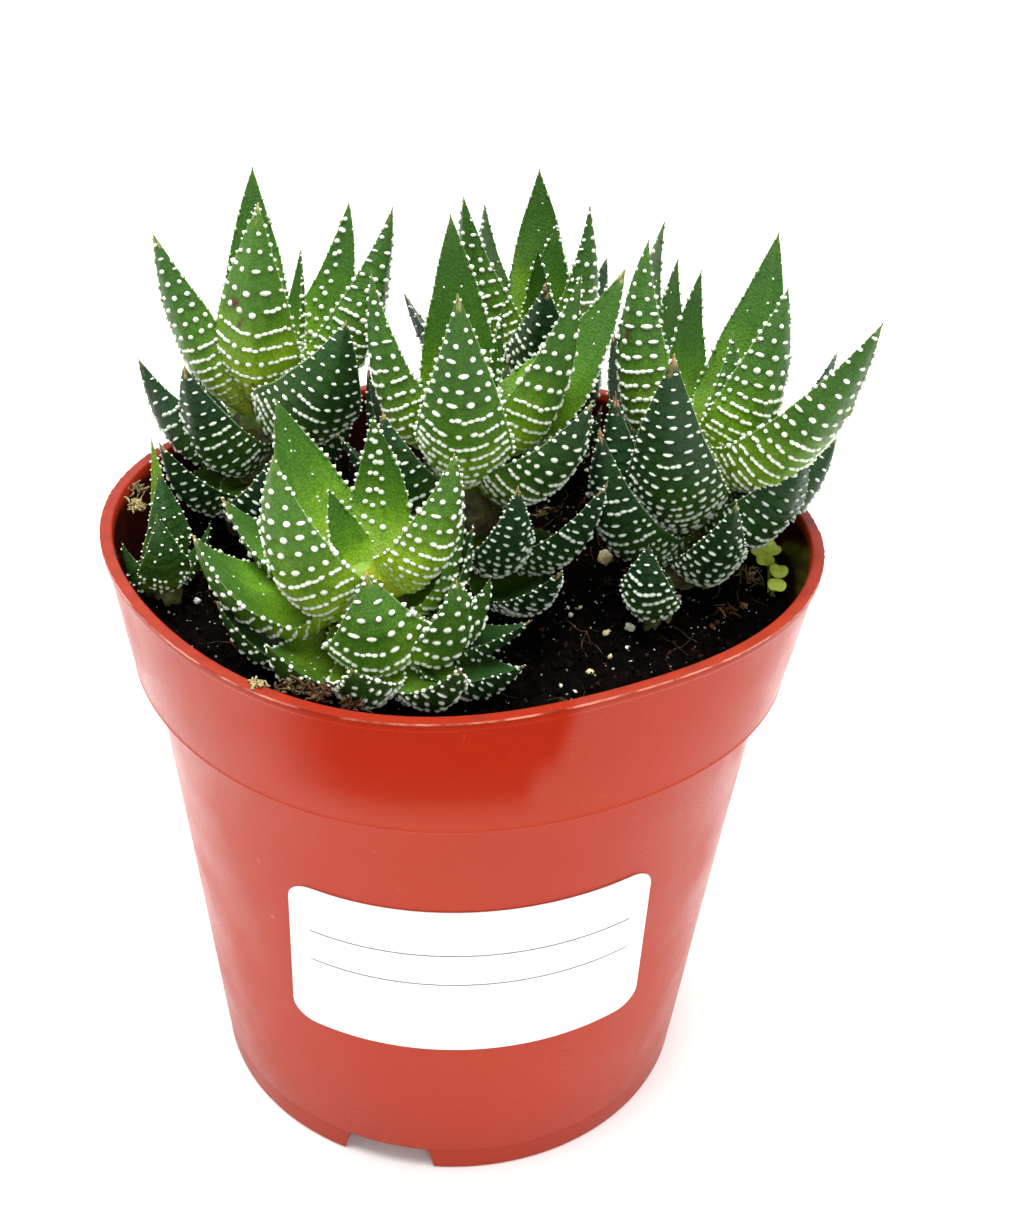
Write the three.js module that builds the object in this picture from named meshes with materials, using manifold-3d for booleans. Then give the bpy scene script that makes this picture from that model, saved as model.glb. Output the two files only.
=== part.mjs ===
// A clump of haworthia in a round plastic nursery pot.
// Millimetres, +Z up. The origin is the centre of the pot's foot, on the surface it stands on.
// -Y is the front, where the label is.

import * as THREE from 'three';
import { mergeVertices } from 'three/addons/utils/BufferGeometryUtils.js';
import Module from 'manifold-3d';

// ---- Driving dimensions ----------------------------------------------------

const POT_HEIGHT = 100;
const RIM_RADIUS = 53;            // outside of the rim, before it is pushed out of round
const BAND_HEIGHT = 20.4;         // the stiff rim band at the top of the wall
const BAND_FOOT_RADIUS = 50.5;
const WALL_TOP_RADIUS = 48;       // outside of the wall, just under the band
const FOOT_RADIUS = 40.2;
const WALL = 1.3;
const LIP = 1.8;                  // width of the flat top of the rim
const FLOOR_UNDERSIDE = 4.6;
const FLOOR_TOP = 6.2;
const FOOT_RING = 2.6;            // width of the ring that the pot stands on
const POT_SEGMENTS = 48;

// The soft rim is out of round: shares of the radius, by angle.
const OUT_OF_ROUND = { cos2: 0.0236, sin2: 0.0179, cos4: 0.0144, sin4: -0.0216 };
const SQUEEZE_AT_BAND_FOOT = 0.4; // how much of that is left at the foot of the band

const NOTCH = { count: 3, azimuth: -104, height: 4.3, footWidth: 15.5, topWidth: 13.5 };
const DRAIN = { count: 4, radius: 3.5, circle: 24, azimuth: 20 };

const LABEL = { low: 31, high: 61.7, azimuth: -86, halfWidth: 27, corner: 3.5, thickness: 0.5, gap: 0.15 };

const SOIL_LEVEL = 88;            // 12 mm under the rim
const SOIL_BUMP = 0.35;
const GAP = 0.3;                  // between pieces that touch

const STEM_ROOT_DEPTH = 7;        // how far a stem stands in its hole in the soil
const STEM_COLLAR = 1.5;          // the stem stays upright this far above the soil, then leans

// How a leaf's cross-section changes along it, as shares of its width.
const LEAF = {
  widestAt: 0.3,                  // share of the length
  rootShare: 0.5,                 // width at the root
  taper: 1.6,
  backDepth: 0.39,                // how far the rounded back stands out
  backThinning: 0.25,             // how much of that is lost by the tip
  keel: { root: 2.4, tip: 1.3 },  // how the back is rounded: a higher power is flatter
  faceHollow: 0.08,               // how far the inner face is dished
  tipHalfWidth: 0.4,
  thinnest: 0.6,
  bendAt: 0.42,                   // share of the length where the bow is greatest
};
const RING_CROWDING = 1.15;       // draws a leaf's rings together towards its tip
const STUD_RELIEF = 0.45;         // the white studs on the back, larger than life
// A leaf that stands off its stem further than this has a sheath that runs back to the
// stem's axis. The sheath drops by a share of that reach and narrows to a share of the root.
const SHEATHED_REACH = 1.5;
const SHEATH_DROP = 0.8;
const SHEATH_SHARE = 0.8;
// Rings along a leaf, and the places across its back, for leaves wider than each value.
const LEAF_DETAIL = [
  { above: 13, rows: 8, backSteps: [-0.62, -0.22, 0.22, 0.62] },
  { above: 0, rows: 6, backSteps: [-0.5, 0, 0.5] },
];

// ---- Leafy stems -----------------------------------------------------------
// foot: x, y at the soil. top: x, y, z of the growing point. stem: radius at the soil.
// A leaf: height of its root on the stem above the soil, x, y, z of its tip, width,
// bow (sagitta as a share of its length), twist in degrees and how far its root
// stands off the stem's axis.

const SHOOTS = {
  shoot_front: {
    foot: [-12, -19], top: [-14, -20, 104], stem: 6,
    leaves: [
      [14, -19, -17, 114, 7, 0.04, 0, 0],
      [15, -13.1, -12, 122.9, 9, 0.14, 10, 3],
      [15, -27, -7.5, 123.1, 13, 0.10, 5, 4],
      [13, -25, -30, 126, 15, 0.12, 15, 3],
      [14, -1.4, -23, 123.3, 12, 0.08, -45, 4],
      [13, -37, -26, 111.5, 16.5, 0.20, 0, 5],
      [13, -35, -12, 109.5, 12, 0.12, 20, 5],
      [8, -12.7, -33.5, 110.6, 15, 0.24, 0, 5],
      [7, -1, -32, 109.5, 14, 0.22, -5, 5],
      [6, 4, -28.5, 107.5, 13, 0.15, -5, 5],
      [8, 0, -18.5, 113.5, 11, 0.10, -5, 3],
      [6, 1.5, -17, 109, 10, 0.13, 0, 4],
      [6.5, -26, -39, 102.5, 11.5, 0.16, -15, 8],
      [6, -34, -28, 102, 12.5, 0.19, 0, 7],
      [5.5, -14, -46, 103.5, 10.5, 0.13, -5, 9],
      [6, 0, -45, 103.3, 11, 0.19, -12, 9],
      [6, 9, -36, 98, 13, 0.20, -15, 9],
      [6.5, 10, -27, 99.5, 11.5, 0.16, -10, 6],
      [9, -12.5, -8.5, 110, 10, 0.12, 0, 1],
      [6, -21, -5, 104, 11, 0.18, 0, 2],
      [5, -1, -9, 101, 10, 0.16, 0, 2],
    ],
  },
  shoot_back_left: {
    foot: [-34, 19], top: [-31.2, 25, 114], stem: 6,
    leaves: [
      [25, -26.5, 29, 132, 7, 0.03, 35, 1],
      [24, -35, 40, 140.8, 12.5, 0.05, -10, 1],
      [23.5, -31.5, 17.5, 143, 13.5, 0.10, 0, 2.5],
      [21, -48, 20.5, 136.8, 10.5, 0.05, 40, 4],
      [24, -19.3, 35, 137.5, 11, 0.07, 30, 3.5],
      [22.5, -12, 26, 140, 12, 0.08, -35, 5],
      [22, -18, 7.5, 129, 17, 0.21, -15, 4],
      [12.5, -43, 11, 119.5, 13.5, 0.13, 10, 2],
      [13, -51.2, 17.5, 117.5, 14, 0.13, 25, 3],
      [8.5, -46, 2, 111, 13, 0.16, 0, 4],
      [8, -28, 0, 111, 15, 0.26, 0, 3],
      [15, -37.5, 40, 115, 10, 0.10, 0, 1],
      [11, -24, 44, 119, 12, 0.16, 0, 2],
      [9, -18, 22, 114, 11.5, 0.14, 0, 2],
      [7, -28, 36, 107, 11, 0.20, 0, 2],
      [11, -45, 30, 112, 10, 0.12, 0, 2],
    ],
  },
  shoot_centre: {
    foot: [1, 3], top: [-1.5, 6.5, 113], stem: 6,
    leaves: [
      [24, 5.2, 8, 133, 8, 0.03, 0, 1],
      [23, 4.2, 5, 128, 7, 0.03, 10, 2],
      [21, -1.5, -13, 142.2, 14, 0.13, -15, 5],
      [23.5, 16, 2.5, 139.3, 14, 0.06, -15, 6],
      [23, 23.3, 13.5, 136.3, 13.5, 0.10, 40, 4],
      [21.5, -3, 17, 142.3, 12.5, 0.03, 0, 3],
      [23, -14.2, 7, 137, 11.2, 0.10, 28, 2],
      [20, 17.6, -11, 125.8, 15, 0.14, -15, 6],
      [17, -12, -5, 120.5, 13, 0.16, 0, 5],
      [10, 7.5, -20, 117, 11, 0.20, 0, 7],
      [8, 20.4, -14.5, 115.2, 12, 0.14, -5, 8],
      [6, 14, -24, 106, 12, 0.16, 5, 9],
      [14, -19, 2, 113, 12, 0.12, 0, 1],
      [12, -15, 10, 121, 12, 0.14, 0, 1],
      [14, 17, 14, 120, 12, 0.18, 0, 1],
      [12, -2, 15, 116, 12, 0.18, 0, 1],
      [7, -6, -4, 107, 11, 0.18, 0, 2],
    ],
  },
  shoot_right: {
    foot: [36, 6], top: [37.8, 10, 110], stem: 6,
    leaves: [
      [22, 40.2, 12, 127, 7.5, 0.06, -10, 1],
      [21, 26, 10, 142, 12.5, 0.11, 20, 4.5],
      [21.5, 29.4, 20.5, 141.5, 11.5, 0.12, -5, 3.5],
      [21.5, 32.3, 24, 134, 10.5, 0.12, 5, 3.5],
      [21.5, 35.7, 21, 133.3, 9, 0.10, 0, 3],
      [21, 48, 27, 137.5, 12, 0.06, 20, 3],
      [21, 46.8, 7.5, 136.2, 13, 0.06, -15, 2],
      [20, 55.8, -15, 140.7, 13.5, 0.11, -10, 4],
      [17, 56.1, 10, 125.8, 11, 0.09, 5, 4],
      [13, 28.8, -9.5, 132.8, 15, 0.14, 10, 4],
      [11, 49.9, -5, 118.8, 13, 0.20, -20, 3],
      [12, 56, 2, 115, 12, 0.16, -30, 4],
      [6, 38.7, -17, 113.6, 11.5, 0.14, 10, 5],
      [8, 22, 1, 121.8, 13, 0.14, 15, 4],
      [7, 19.5, -6, 119.3, 14, 0.16, 10, 5],
      [12, 45, 34, 121, 12, 0.16, 0, 1],
      [12, 23, 24, 122, 12, 0.14, 0, 1],
      [8, 34, 23, 110, 12, 0.18, 0, 2],
      [8, 49, 20, 111, 11, 0.16, 0, 2],
    ],
  },
  shoot_back: {
    foot: [13, 37], top: [12, 37, 116], stem: 5,
    leaves: [
      [25, 11, 46, 140, 10.5, 0.06, 0, 1.5],
      [25, 14, 42, 132, 9, 0.03, 0, 0],
      [24.5, 19, 37, 137.5, 12, 0.05, -30, 2],
      [26, 11, 36.5, 130, 7, 0.03, 0, 1],
      [21.5, 11.8, 21, 130.3, 13, 0.13, -25, 2],
      [24, -1.2, 34, 139.2, 12, 0.07, 30, 3],
      [24, 2.2, 40.5, 136, 10.5, 0.08, 0, 3],
      [20, 23, 45, 125.8, 10.5, 0.09, -10, 3],
      [17.5, -11, 40, 120.8, 12, 0.13, 10, 4],
      [15, 8, 51, 124, 11, 0.16, 0, 1],
      [14, 21, 30, 118, 11, 0.16, 0, 1],
      [12, 3, 29, 114, 11, 0.16, 0, 1],
      [10, 22, 45, 112, 10, 0.14, 0, 1],
      [9, 5, 47, 111, 10, 0.14, 0, 1],
      [6, 13, 25, 106, 10, 0.18, 0, 1],
      [5, 23, 35, 103, 9, 0.16, 0, 1],
      [5, 3, 36, 102, 9, 0.16, 0, 1],
    ],
  },
  shoot_left: {
    foot: [-45.2, -5], top: [-46, -4, 96], stem: 2.4,
    leaves: [
      [5, -44.8, -6, 110, 8, 0.10, 0, 0],
      [5, -46.9, 1, 112, 3.6, 0.04, 0, 0],
      [4, -44.6, -11, 105.7, 8, 0.18, 0, 0],
      [3, -51, -7, 98.5, 8, 0.10, 0, 0],
      [3, -38.3, -2, 99.8, 6, 0.12, 0, 0],
    ],
  },
  pup_right: {
    foot: [29.8, -9], top: [29.8, -9, 94], stem: 2.5,
    leaves: [
      [4.5, 26.9, -16, 105.8, 9.2, 0.12, 0, 1.5],
      [3, 29.8, -7, 97, 6, 0.14, 0, 0],
    ],
  },
};

// Two tiny clover-like seedlings from one root: where each one's leaflets meet, and
// the directions of its leaflets in degrees.
const CLOVER = {
  foot: [48.5, 0.5],
  leafletLength: 2.3,
  thickness: 0.7,
  stalkRadius: 0.5,
  rootDepth: 3,
  heads: [
    { at: [48.5, 6, 91.6], leaflets: [20, 140, 265] },
    { at: [49.6, 0.4, 91], leaflets: [80, 275] },
  ],
};

const COLOURS = {
  pot: { color: 0xc4492f, roughness: 0.45, metalness: 0 },
  label: { color: 0xf4f3f0, roughness: 0.7, metalness: 0 },
  soil: { color: 0x241a15, roughness: 1, metalness: 0 },
  leaf: { color: 0x2f6b34, roughness: 0.4, metalness: 0 },
  clover: { color: 0x8fb832, roughness: 0.6, metalness: 0 },
};

// ---- Solids: joining and cutting --------------------------------------------

const wasm = await Module();
wasm.setup();

// A closed geometry as a solid, with shared vertices merged and empty triangles dropped.
function solid(geometry) {
  const bare = geometry.clone();
  bare.deleteAttribute('normal');
  bare.deleteAttribute('uv');
  const merged = mergeVertices(bare, 1e-4);
  const index = merged.index.array;
  const triangles = [];
  for (let i = 0; i < index.length; i += 3) {
    const [a, b, c] = [index[i], index[i + 1], index[i + 2]];
    if (a !== b && b !== c && c !== a) triangles.push(a, b, c);
  }
  const vertProperties = new Float32Array(merged.attributes.position.array);
  const triVerts = new Uint32Array(triangles);
  return new wasm.Manifold(new wasm.Mesh({ numProp: 3, vertProperties, triVerts }));
}

// The largest closed body of a solid: loose scraps and sealed hollows are left out.
function oneBody(joined) {
  return joined.decompose().reduce((best, next) => (next.volume() > best.volume() ? next : best));
}

function geometryOf(body) {
  const mesh = body.getMesh();
  const geometry = new THREE.BufferGeometry();
  geometry.setAttribute('position', new THREE.BufferAttribute(new Float32Array(mesh.vertProperties), 3));
  geometry.setIndex(new THREE.BufferAttribute(new Uint32Array(mesh.triVerts), 1));
  geometry.computeVertexNormals();
  return geometry;
}

function meshOf(name, body, look) {
  const mesh = new THREE.Mesh(geometryOf(body), new THREE.MeshStandardMaterial(look));
  mesh.name = name;
  return mesh;
}

// ---- Shapes that follow the out-of-round pot ---------------------------------

const bandFoot = POT_HEIGHT - BAND_HEIGHT;

function squeezeShare(z) {
  if (z < bandFoot) return SQUEEZE_AT_BAND_FOOT * (z / bandFoot) ** 2;
  return SQUEEZE_AT_BAND_FOOT + (1 - SQUEEZE_AT_BAND_FOOT) * (z - bandFoot) / BAND_HEIGHT;
}

function outOfRound(angle, z) {
  const { cos2, sin2, cos4, sin4 } = OUT_OF_ROUND;
  const wave = cos2 * Math.cos(2 * angle) + sin2 * Math.sin(2 * angle)
    + cos4 * Math.cos(4 * angle) + sin4 * Math.sin(4 * angle);
  return 1 + squeezeShare(THREE.MathUtils.clamp(z, 0, POT_HEIGHT)) * wave;
}

// A profile of [radius, z] points, turned about Z and pushed out of round.
// The profile runs so that the solid lies on its left.
function turned(profile, lift = () => 0) {
  const points = profile.map(([radius, z]) => new THREE.Vector2(radius, z));
  const geometry = new THREE.LatheGeometry(points, POT_SEGMENTS);
  geometry.rotateX(Math.PI / 2);
  const position = geometry.attributes.position;
  for (let i = 0; i < position.count; i += 1) {
    const [x, y, z] = [position.getX(i), position.getY(i), position.getZ(i)];
    const share = outOfRound(Math.atan2(y, x), z);
    position.setXYZ(i, x * share, y * share, z + lift(x, y, z));
  }
  return geometry;
}

// Outside of the plain wall under the band.
function wallRadius(z) {
  return THREE.MathUtils.lerp(FOOT_RADIUS, WALL_TOP_RADIUS, z / bandFoot);
}

// Inside of the band above its foot.
function bandInside(z) {
  const share = (z - bandFoot) / BAND_HEIGHT;
  return THREE.MathUtils.lerp(BAND_FOOT_RADIUS - WALL - 0.3, RIM_RADIUS - LIP, share);
}

// A prism along the outward direction of an azimuth, from an outline in its width and z.
function outwardPrism(outline, azimuth, from, to) {
  const depth = to - from;
  const geometry = new THREE.ExtrudeGeometry(outline, { depth, bevelEnabled: false, curveSegments: 3 });
  geometry.rotateX(Math.PI / 2);
  geometry.translate(0, -from, 0);
  geometry.rotateZ(THREE.MathUtils.degToRad(azimuth + 90));
  return solid(geometry);
}

// ---- Pot ----------------------------------------------------------------------

function potBody() {
  const lipEdge = 1.6;            // height of the small turned-out edge under the lip
  const footInside = FOOT_RADIUS - FOOT_RING;
  const bandStep = 0.4;           // rounded-off lower corner of the band
  const baseLine = 4.9;           // the faint step just above the foot
  const profile = [
    [footInside, 0],
    [FOOT_RADIUS, 0],
    [wallRadius(baseLine) - 0.4, baseLine - 0.2],
    [wallRadius(baseLine), baseLine + 0.2],
    [WALL_TOP_RADIUS, bandFoot],
    [BAND_FOOT_RADIUS - bandStep, bandFoot],
    [BAND_FOOT_RADIUS, bandFoot + bandStep],
    [RIM_RADIUS - 0.5, POT_HEIGHT - lipEdge],
    [RIM_RADIUS, POT_HEIGHT - lipEdge + 0.4],
    [RIM_RADIUS, POT_HEIGHT],
    [RIM_RADIUS - LIP, POT_HEIGHT],
    [bandInside(bandFoot + 1.4), bandFoot + 1.4],
    [WALL_TOP_RADIUS - WALL, bandFoot - 1],
    [wallRadius(FLOOR_TOP) - WALL, FLOOR_TOP + 0.8],
    [wallRadius(FLOOR_TOP) - WALL - 0.8, FLOOR_TOP],
    [0, FLOOR_TOP],
    [0, FLOOR_UNDERSIDE],
    [footInside - 0.4, FLOOR_UNDERSIDE],
    [footInside, 0],
  ];
  let pot = solid(turned(profile));

  const notch = new THREE.Shape();
  const [halfFoot, halfTop] = [NOTCH.footWidth / 2, NOTCH.topWidth / 2];
  notch.moveTo(-halfFoot - 0.2, -1);
  notch.lineTo(halfFoot + 0.2, -1);
  notch.lineTo(halfTop, NOTCH.height);
  notch.lineTo(-halfTop, NOTCH.height);
  notch.closePath();
  for (let i = 0; i < NOTCH.count; i += 1) {
    const azimuth = NOTCH.azimuth + i * 360 / NOTCH.count;
    pot = pot.subtract(outwardPrism(notch, azimuth, FOOT_RADIUS - 8, FOOT_RADIUS + 5));
  }

  for (let i = 0; i < DRAIN.count; i += 1) {
    const angle = THREE.MathUtils.degToRad(DRAIN.azimuth + i * 360 / DRAIN.count);
    const hole = new THREE.CylinderGeometry(DRAIN.radius, DRAIN.radius, 6, 12);
    hole.rotateX(Math.PI / 2);
    hole.translate(DRAIN.circle * Math.cos(angle), DRAIN.circle * Math.sin(angle), FLOOR_TOP);
    pot = pot.subtract(solid(hole));
  }
  return oneBody(pot);
}

// ---- Label ---------------------------------------------------------------------

function roundedRectangle(halfWidth, low, high, corner) {
  const shape = new THREE.Shape();
  shape.moveTo(-halfWidth + corner, low);
  shape.lineTo(halfWidth - corner, low);
  shape.absarc(halfWidth - corner, low + corner, corner, -Math.PI / 2, 0);
  shape.lineTo(halfWidth, high - corner);
  shape.absarc(halfWidth - corner, high - corner, corner, 0, Math.PI / 2);
  shape.lineTo(-halfWidth + corner, high);
  shape.absarc(-halfWidth + corner, high - corner, corner, Math.PI / 2, Math.PI);
  shape.lineTo(-halfWidth, low + corner);
  shape.absarc(-halfWidth + corner, low + corner, corner, Math.PI, 1.5 * Math.PI);
  return shape;
}

function labelBody() {
  const [below, above] = [LABEL.low - 5, LABEL.high + 5];
  const [inner, outer] = [LABEL.gap, LABEL.gap + LABEL.thickness];
  const skin = turned([
    [wallRadius(below) + inner, below],
    [wallRadius(below) + outer, below],
    [wallRadius(above) + outer, above],
    [wallRadius(above) + inner, above],
    [wallRadius(below) + inner, below],
  ]);
  const outline = roundedRectangle(LABEL.halfWidth, LABEL.low, LABEL.high, LABEL.corner);
  return oneBody(solid(skin).intersect(outwardPrism(outline, LABEL.azimuth, 10, RIM_RADIUS + 10)));
}

// ---- Soil -----------------------------------------------------------------------

function soilBump(x, y) {
  return SOIL_BUMP * (Math.sin(x * 0.31 + 1.3) * Math.cos(y * 0.27) + 0.6 * Math.sin(x * 0.83 - y * 0.61));
}

function plainHole(x, y, radius, rootDepth, sides) {
  const depth = rootDepth + GAP;
  const height = depth + 4;
  const hole = new THREE.CylinderGeometry(radius, radius, height, sides);
  hole.rotateX(Math.PI / 2);
  hole.translate(x, y, SOIL_LEVEL - depth + height / 2);
  return solid(hole);
}

function soilBody() {
  const bottom = FLOOR_TOP + GAP;
  const shoulder = bandFoot - 1;
  const bandCorner = bandFoot + 1.4;
  const edge = bandInside(SOIL_LEVEL) - GAP;
  const profile = [
    [0, bottom],
    [wallRadius(FLOOR_TOP) - WALL - 1.1, bottom],
    [wallRadius(FLOOR_TOP) - WALL - GAP, bottom + 0.8],
    [WALL_TOP_RADIUS - WALL - GAP, shoulder],
    [bandInside(bandCorner) - GAP, bandCorner],
    [edge, SOIL_LEVEL],
    [edge * 0.8, SOIL_LEVEL],
    [edge * 0.55, SOIL_LEVEL],
    [edge * 0.28, SOIL_LEVEL],
    [0, SOIL_LEVEL],
  ];
  const lift = (x, y, z) => (z > SOIL_LEVEL - 0.1 ? soilBump(x, y) : 0);
  let soil = solid(turned(profile, lift));
  for (const { foot, stem } of Object.values(SHOOTS)) {
    soil = soil.subtract(plainHole(...foot, stem + GAP, STEM_ROOT_DEPTH, 8));
  }
  soil = soil.subtract(plainHole(...CLOVER.foot, CLOVER.stalkRadius + GAP, CLOVER.rootDepth, 6));
  return oneBody(soil);
}

// ---- Lofts: closed solids through a row of rings ----------------------------------

function loft(rings) {
  const sides = rings[0].length;
  const positions = [];
  for (const ring of rings) {
    for (const point of ring) positions.push(point.x, point.y, point.z);
  }
  const index = [];
  for (let i = 0; i < rings.length - 1; i += 1) {
    for (let j = 0; j < sides; j += 1) {
      const next = (j + 1) % sides;
      const [a, b] = [i * sides + j, i * sides + next];
      index.push(a, b, b + sides, a, b + sides, a + sides);
    }
  }
  const addCap = (ring, start, flip) => {
    const middle = new THREE.Vector3();
    for (const point of ring) middle.addScaledVector(point, 1 / sides);
    const centre = positions.length / 3;
    positions.push(middle.x, middle.y, middle.z);
    for (let j = 0; j < sides; j += 1) {
      const [a, b] = [start + j, start + (j + 1) % sides];
      if (flip) index.push(centre, b, a);
      else index.push(centre, a, b);
    }
  };
  addCap(rings[0], 0, true);
  addCap(rings[rings.length - 1], (rings.length - 1) * sides, false);
  const geometry = new THREE.BufferGeometry();
  geometry.setAttribute('position', new THREE.Float32BufferAttribute(positions, 3));
  geometry.setIndex(index);
  return geometry;
}

function roundRing(x, y, z, radius, sides) {
  const ring = [];
  for (let j = 0; j < sides; j += 1) {
    const angle = j / sides * 2 * Math.PI;
    ring.push(new THREE.Vector3(x + radius * Math.sin(angle), y - radius * Math.cos(angle), z));
  }
  return ring;
}

// ---- Leaves ------------------------------------------------------------------------

function leafHalfWidth(width, u) {
  const { widestAt, rootShare, taper, tipHalfWidth } = LEAF;
  const share = u < widestAt
    ? 1 - (1 - rootShare) * ((widestAt - u) / widestAt) ** 2
    : 1 - ((u - widestAt) / (1 - widestAt)) ** taper;
  return Math.max(width / 2 * share, tipHalfWidth);
}

// One ring round a leaf: the dished inner face first, then the rounded back, given as its
// places from margin to margin with the height of the stud on each.
function leafRing(centre, side, out, half, u, back) {
  const depth = Math.max(2 * half * LEAF.backDepth * (1 - LEAF.backThinning * u), LEAF.thinnest);
  const keel = THREE.MathUtils.lerp(LEAF.keel.root, LEAF.keel.tip, u);
  const at = (v, lift) => centre.clone().addScaledVector(side, v * half).addScaledVector(out, lift);
  const face = [1, 0, -1].map((v) => at(v, 2 * half * LEAF.faceHollow * (1 - u) * (1 - v * v)));
  return [...face, ...back.map(([v, stud]) => at(v, depth * (1 - Math.abs(v) ** keel) + stud))];
}

// One leaf as a closed solid: a row of rings along a curved midrib.
function leafBody(shoot, [height, x, y, z, width, bow, twist, reach]) {
  const foot = new THREE.Vector3(...shoot.foot, SOIL_LEVEL);
  const axis = new THREE.Vector3(...shoot.top).sub(foot).normalize();
  const tip = new THREE.Vector3(x, y, z);
  const root = foot.clone().addScaledVector(axis, height);
  const lean = tip.clone().sub(root);
  lean.addScaledVector(axis, -lean.dot(axis)).normalize();
  root.addScaledVector(lean, reach);

  const reachOut = tip.clone().sub(root);
  const across = axis.clone().cross(lean).normalize();
  const inward = reachOut.clone().cross(across).normalize();
  if (inward.dot(axis) < 0) inward.negate();
  const bend = root.clone().addScaledVector(reachOut, LEAF.bendAt);
  bend.addScaledVector(inward, -2 * bow * reachOut.length());
  const midrib = new THREE.QuadraticBezierCurve3(root, bend, tip);

  const { rows, backSteps } = LEAF_DETAIL.find(({ above }) => width > above);
  const turn = THREE.MathUtils.degToRad(twist);
  const rings = [];
  for (let i = 0; i < rows; i += 1) {
    const u = 1 - (1 - i / (rows - 1)) ** RING_CROWDING;
    const centre = midrib.getPoint(u);
    const along = midrib.getTangent(u);
    const face = across.clone().cross(along).normalize();
    if (face.dot(inward) < 0) face.negate();
    const side = across.clone().multiplyScalar(Math.cos(turn)).addScaledVector(face, Math.sin(turn));
    const out = across.clone().multiplyScalar(Math.sin(turn)).addScaledVector(face, -Math.cos(turn));
    const half = leafHalfWidth(width, u);
    if (i === 0 && reach > SHEATHED_REACH) {
      const start = root.clone().addScaledVector(lean, -reach).addScaledVector(axis, -SHEATH_DROP * reach);
      rings.push(leafRing(start, side, out, half * SHEATH_SHARE, u, backSteps.map((v) => [v, 0])));
    }
    const studded = i > 1 && i < rows - 2;
    const back = backSteps.map((v, j) => [v, studded && (i + j) % 2 === 0 ? STUD_RELIEF : 0]);
    rings.push(leafRing(centre, side, out, half, u, back));
  }
  let geometry = loft(rings);
  const body = solid(geometry);
  if (body.volume() > 0) return body;
  geometry = loft(rings.map((ring) => [...ring].reverse()));
  return solid(geometry);
}

function stemBody({ foot: [x, y], top: [topX, topY, topZ], stem }) {
  const lean = (share) => [
    THREE.MathUtils.lerp(x, topX, share),
    THREE.MathUtils.lerp(y, topY, share),
    THREE.MathUtils.lerp(SOIL_LEVEL, topZ, share),
  ];
  return solid(loft([
    roundRing(x, y, SOIL_LEVEL - STEM_ROOT_DEPTH, stem, 8),
    roundRing(x, y, SOIL_LEVEL + STEM_COLLAR, stem, 8),
    roundRing(...lean(0.6), stem * 0.9, 8),
    roundRing(...lean(0.85), stem * 0.7, 8),
    roundRing(...lean(1), stem * 0.35, 8),
  ]));
}

function shootBody(shoot) {
  let body = stemBody(shoot);
  for (const leaf of shoot.leaves) body = body.add(leafBody(shoot, leaf));
  return oneBody(body);
}

// ---- Seedlings ---------------------------------------------------------------------

function leafletBody([x, y, z], direction) {
  const length = CLOVER.leafletLength;
  const heart = new THREE.Shape();
  heart.moveTo(-0.2 * length, -0.1 * length);
  heart.lineTo(0.6 * length, -0.5 * length);
  heart.lineTo(0.98 * length, -0.3 * length);
  heart.lineTo(0.8 * length, 0);
  heart.lineTo(0.98 * length, 0.3 * length);
  heart.lineTo(0.6 * length, 0.5 * length);
  heart.lineTo(-0.2 * length, 0.1 * length);
  heart.closePath();
  const leaflet = new THREE.ExtrudeGeometry(heart, { depth: CLOVER.thickness, bevelEnabled: false });
  leaflet.rotateY(-0.12);
  leaflet.rotateZ(THREE.MathUtils.degToRad(direction));
  leaflet.translate(x, y, z);
  return solid(leaflet);
}

function cloverBody() {
  const [x, y] = CLOVER.foot;
  const radius = CLOVER.stalkRadius;
  let body = solid(loft([
    roundRing(x, y, SOIL_LEVEL - CLOVER.rootDepth, radius, 6),
    roundRing(x, y, SOIL_LEVEL + 1.2, radius, 6),
  ]));
  for (const { at: [headX, headY, headZ], leaflets } of CLOVER.heads) {
    body = body.add(solid(loft([
      roundRing(x, y, SOIL_LEVEL + 0.6, radius * 0.9, 4),
      roundRing(headX, headY, headZ + CLOVER.thickness / 2, radius * 0.8, 4),
    ])));
    for (const direction of leaflets) body = body.add(leafletBody([headX, headY, headZ], direction));
  }
  return oneBody(body);
}

// ---- The object ----------------------------------------------------------------------

const group = new THREE.Group();
group.add(meshOf('pot', potBody(), COLOURS.pot));
group.add(meshOf('label', labelBody(), COLOURS.label));
group.add(meshOf('soil', soilBody(), COLOURS.soil));
for (const [name, shoot] of Object.entries(SHOOTS)) {
  group.add(meshOf(name, shootBody(shoot), COLOURS.leaf));
}
group.add(meshOf('clover_seedlings', cloverBody(), COLOURS.clover));

export default group;
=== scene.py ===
"""A clump of haworthia in a round plastic nursery pot: the looks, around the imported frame.

Lists of sizes and places are in millimetres, in the frame's axes, and every mesh is
scaled to metres as it is made. -Y is the front, where the label is.
"""

import math
import bmesh
import bpy
import numpy as np
from mathutils import Matrix, Vector


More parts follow.
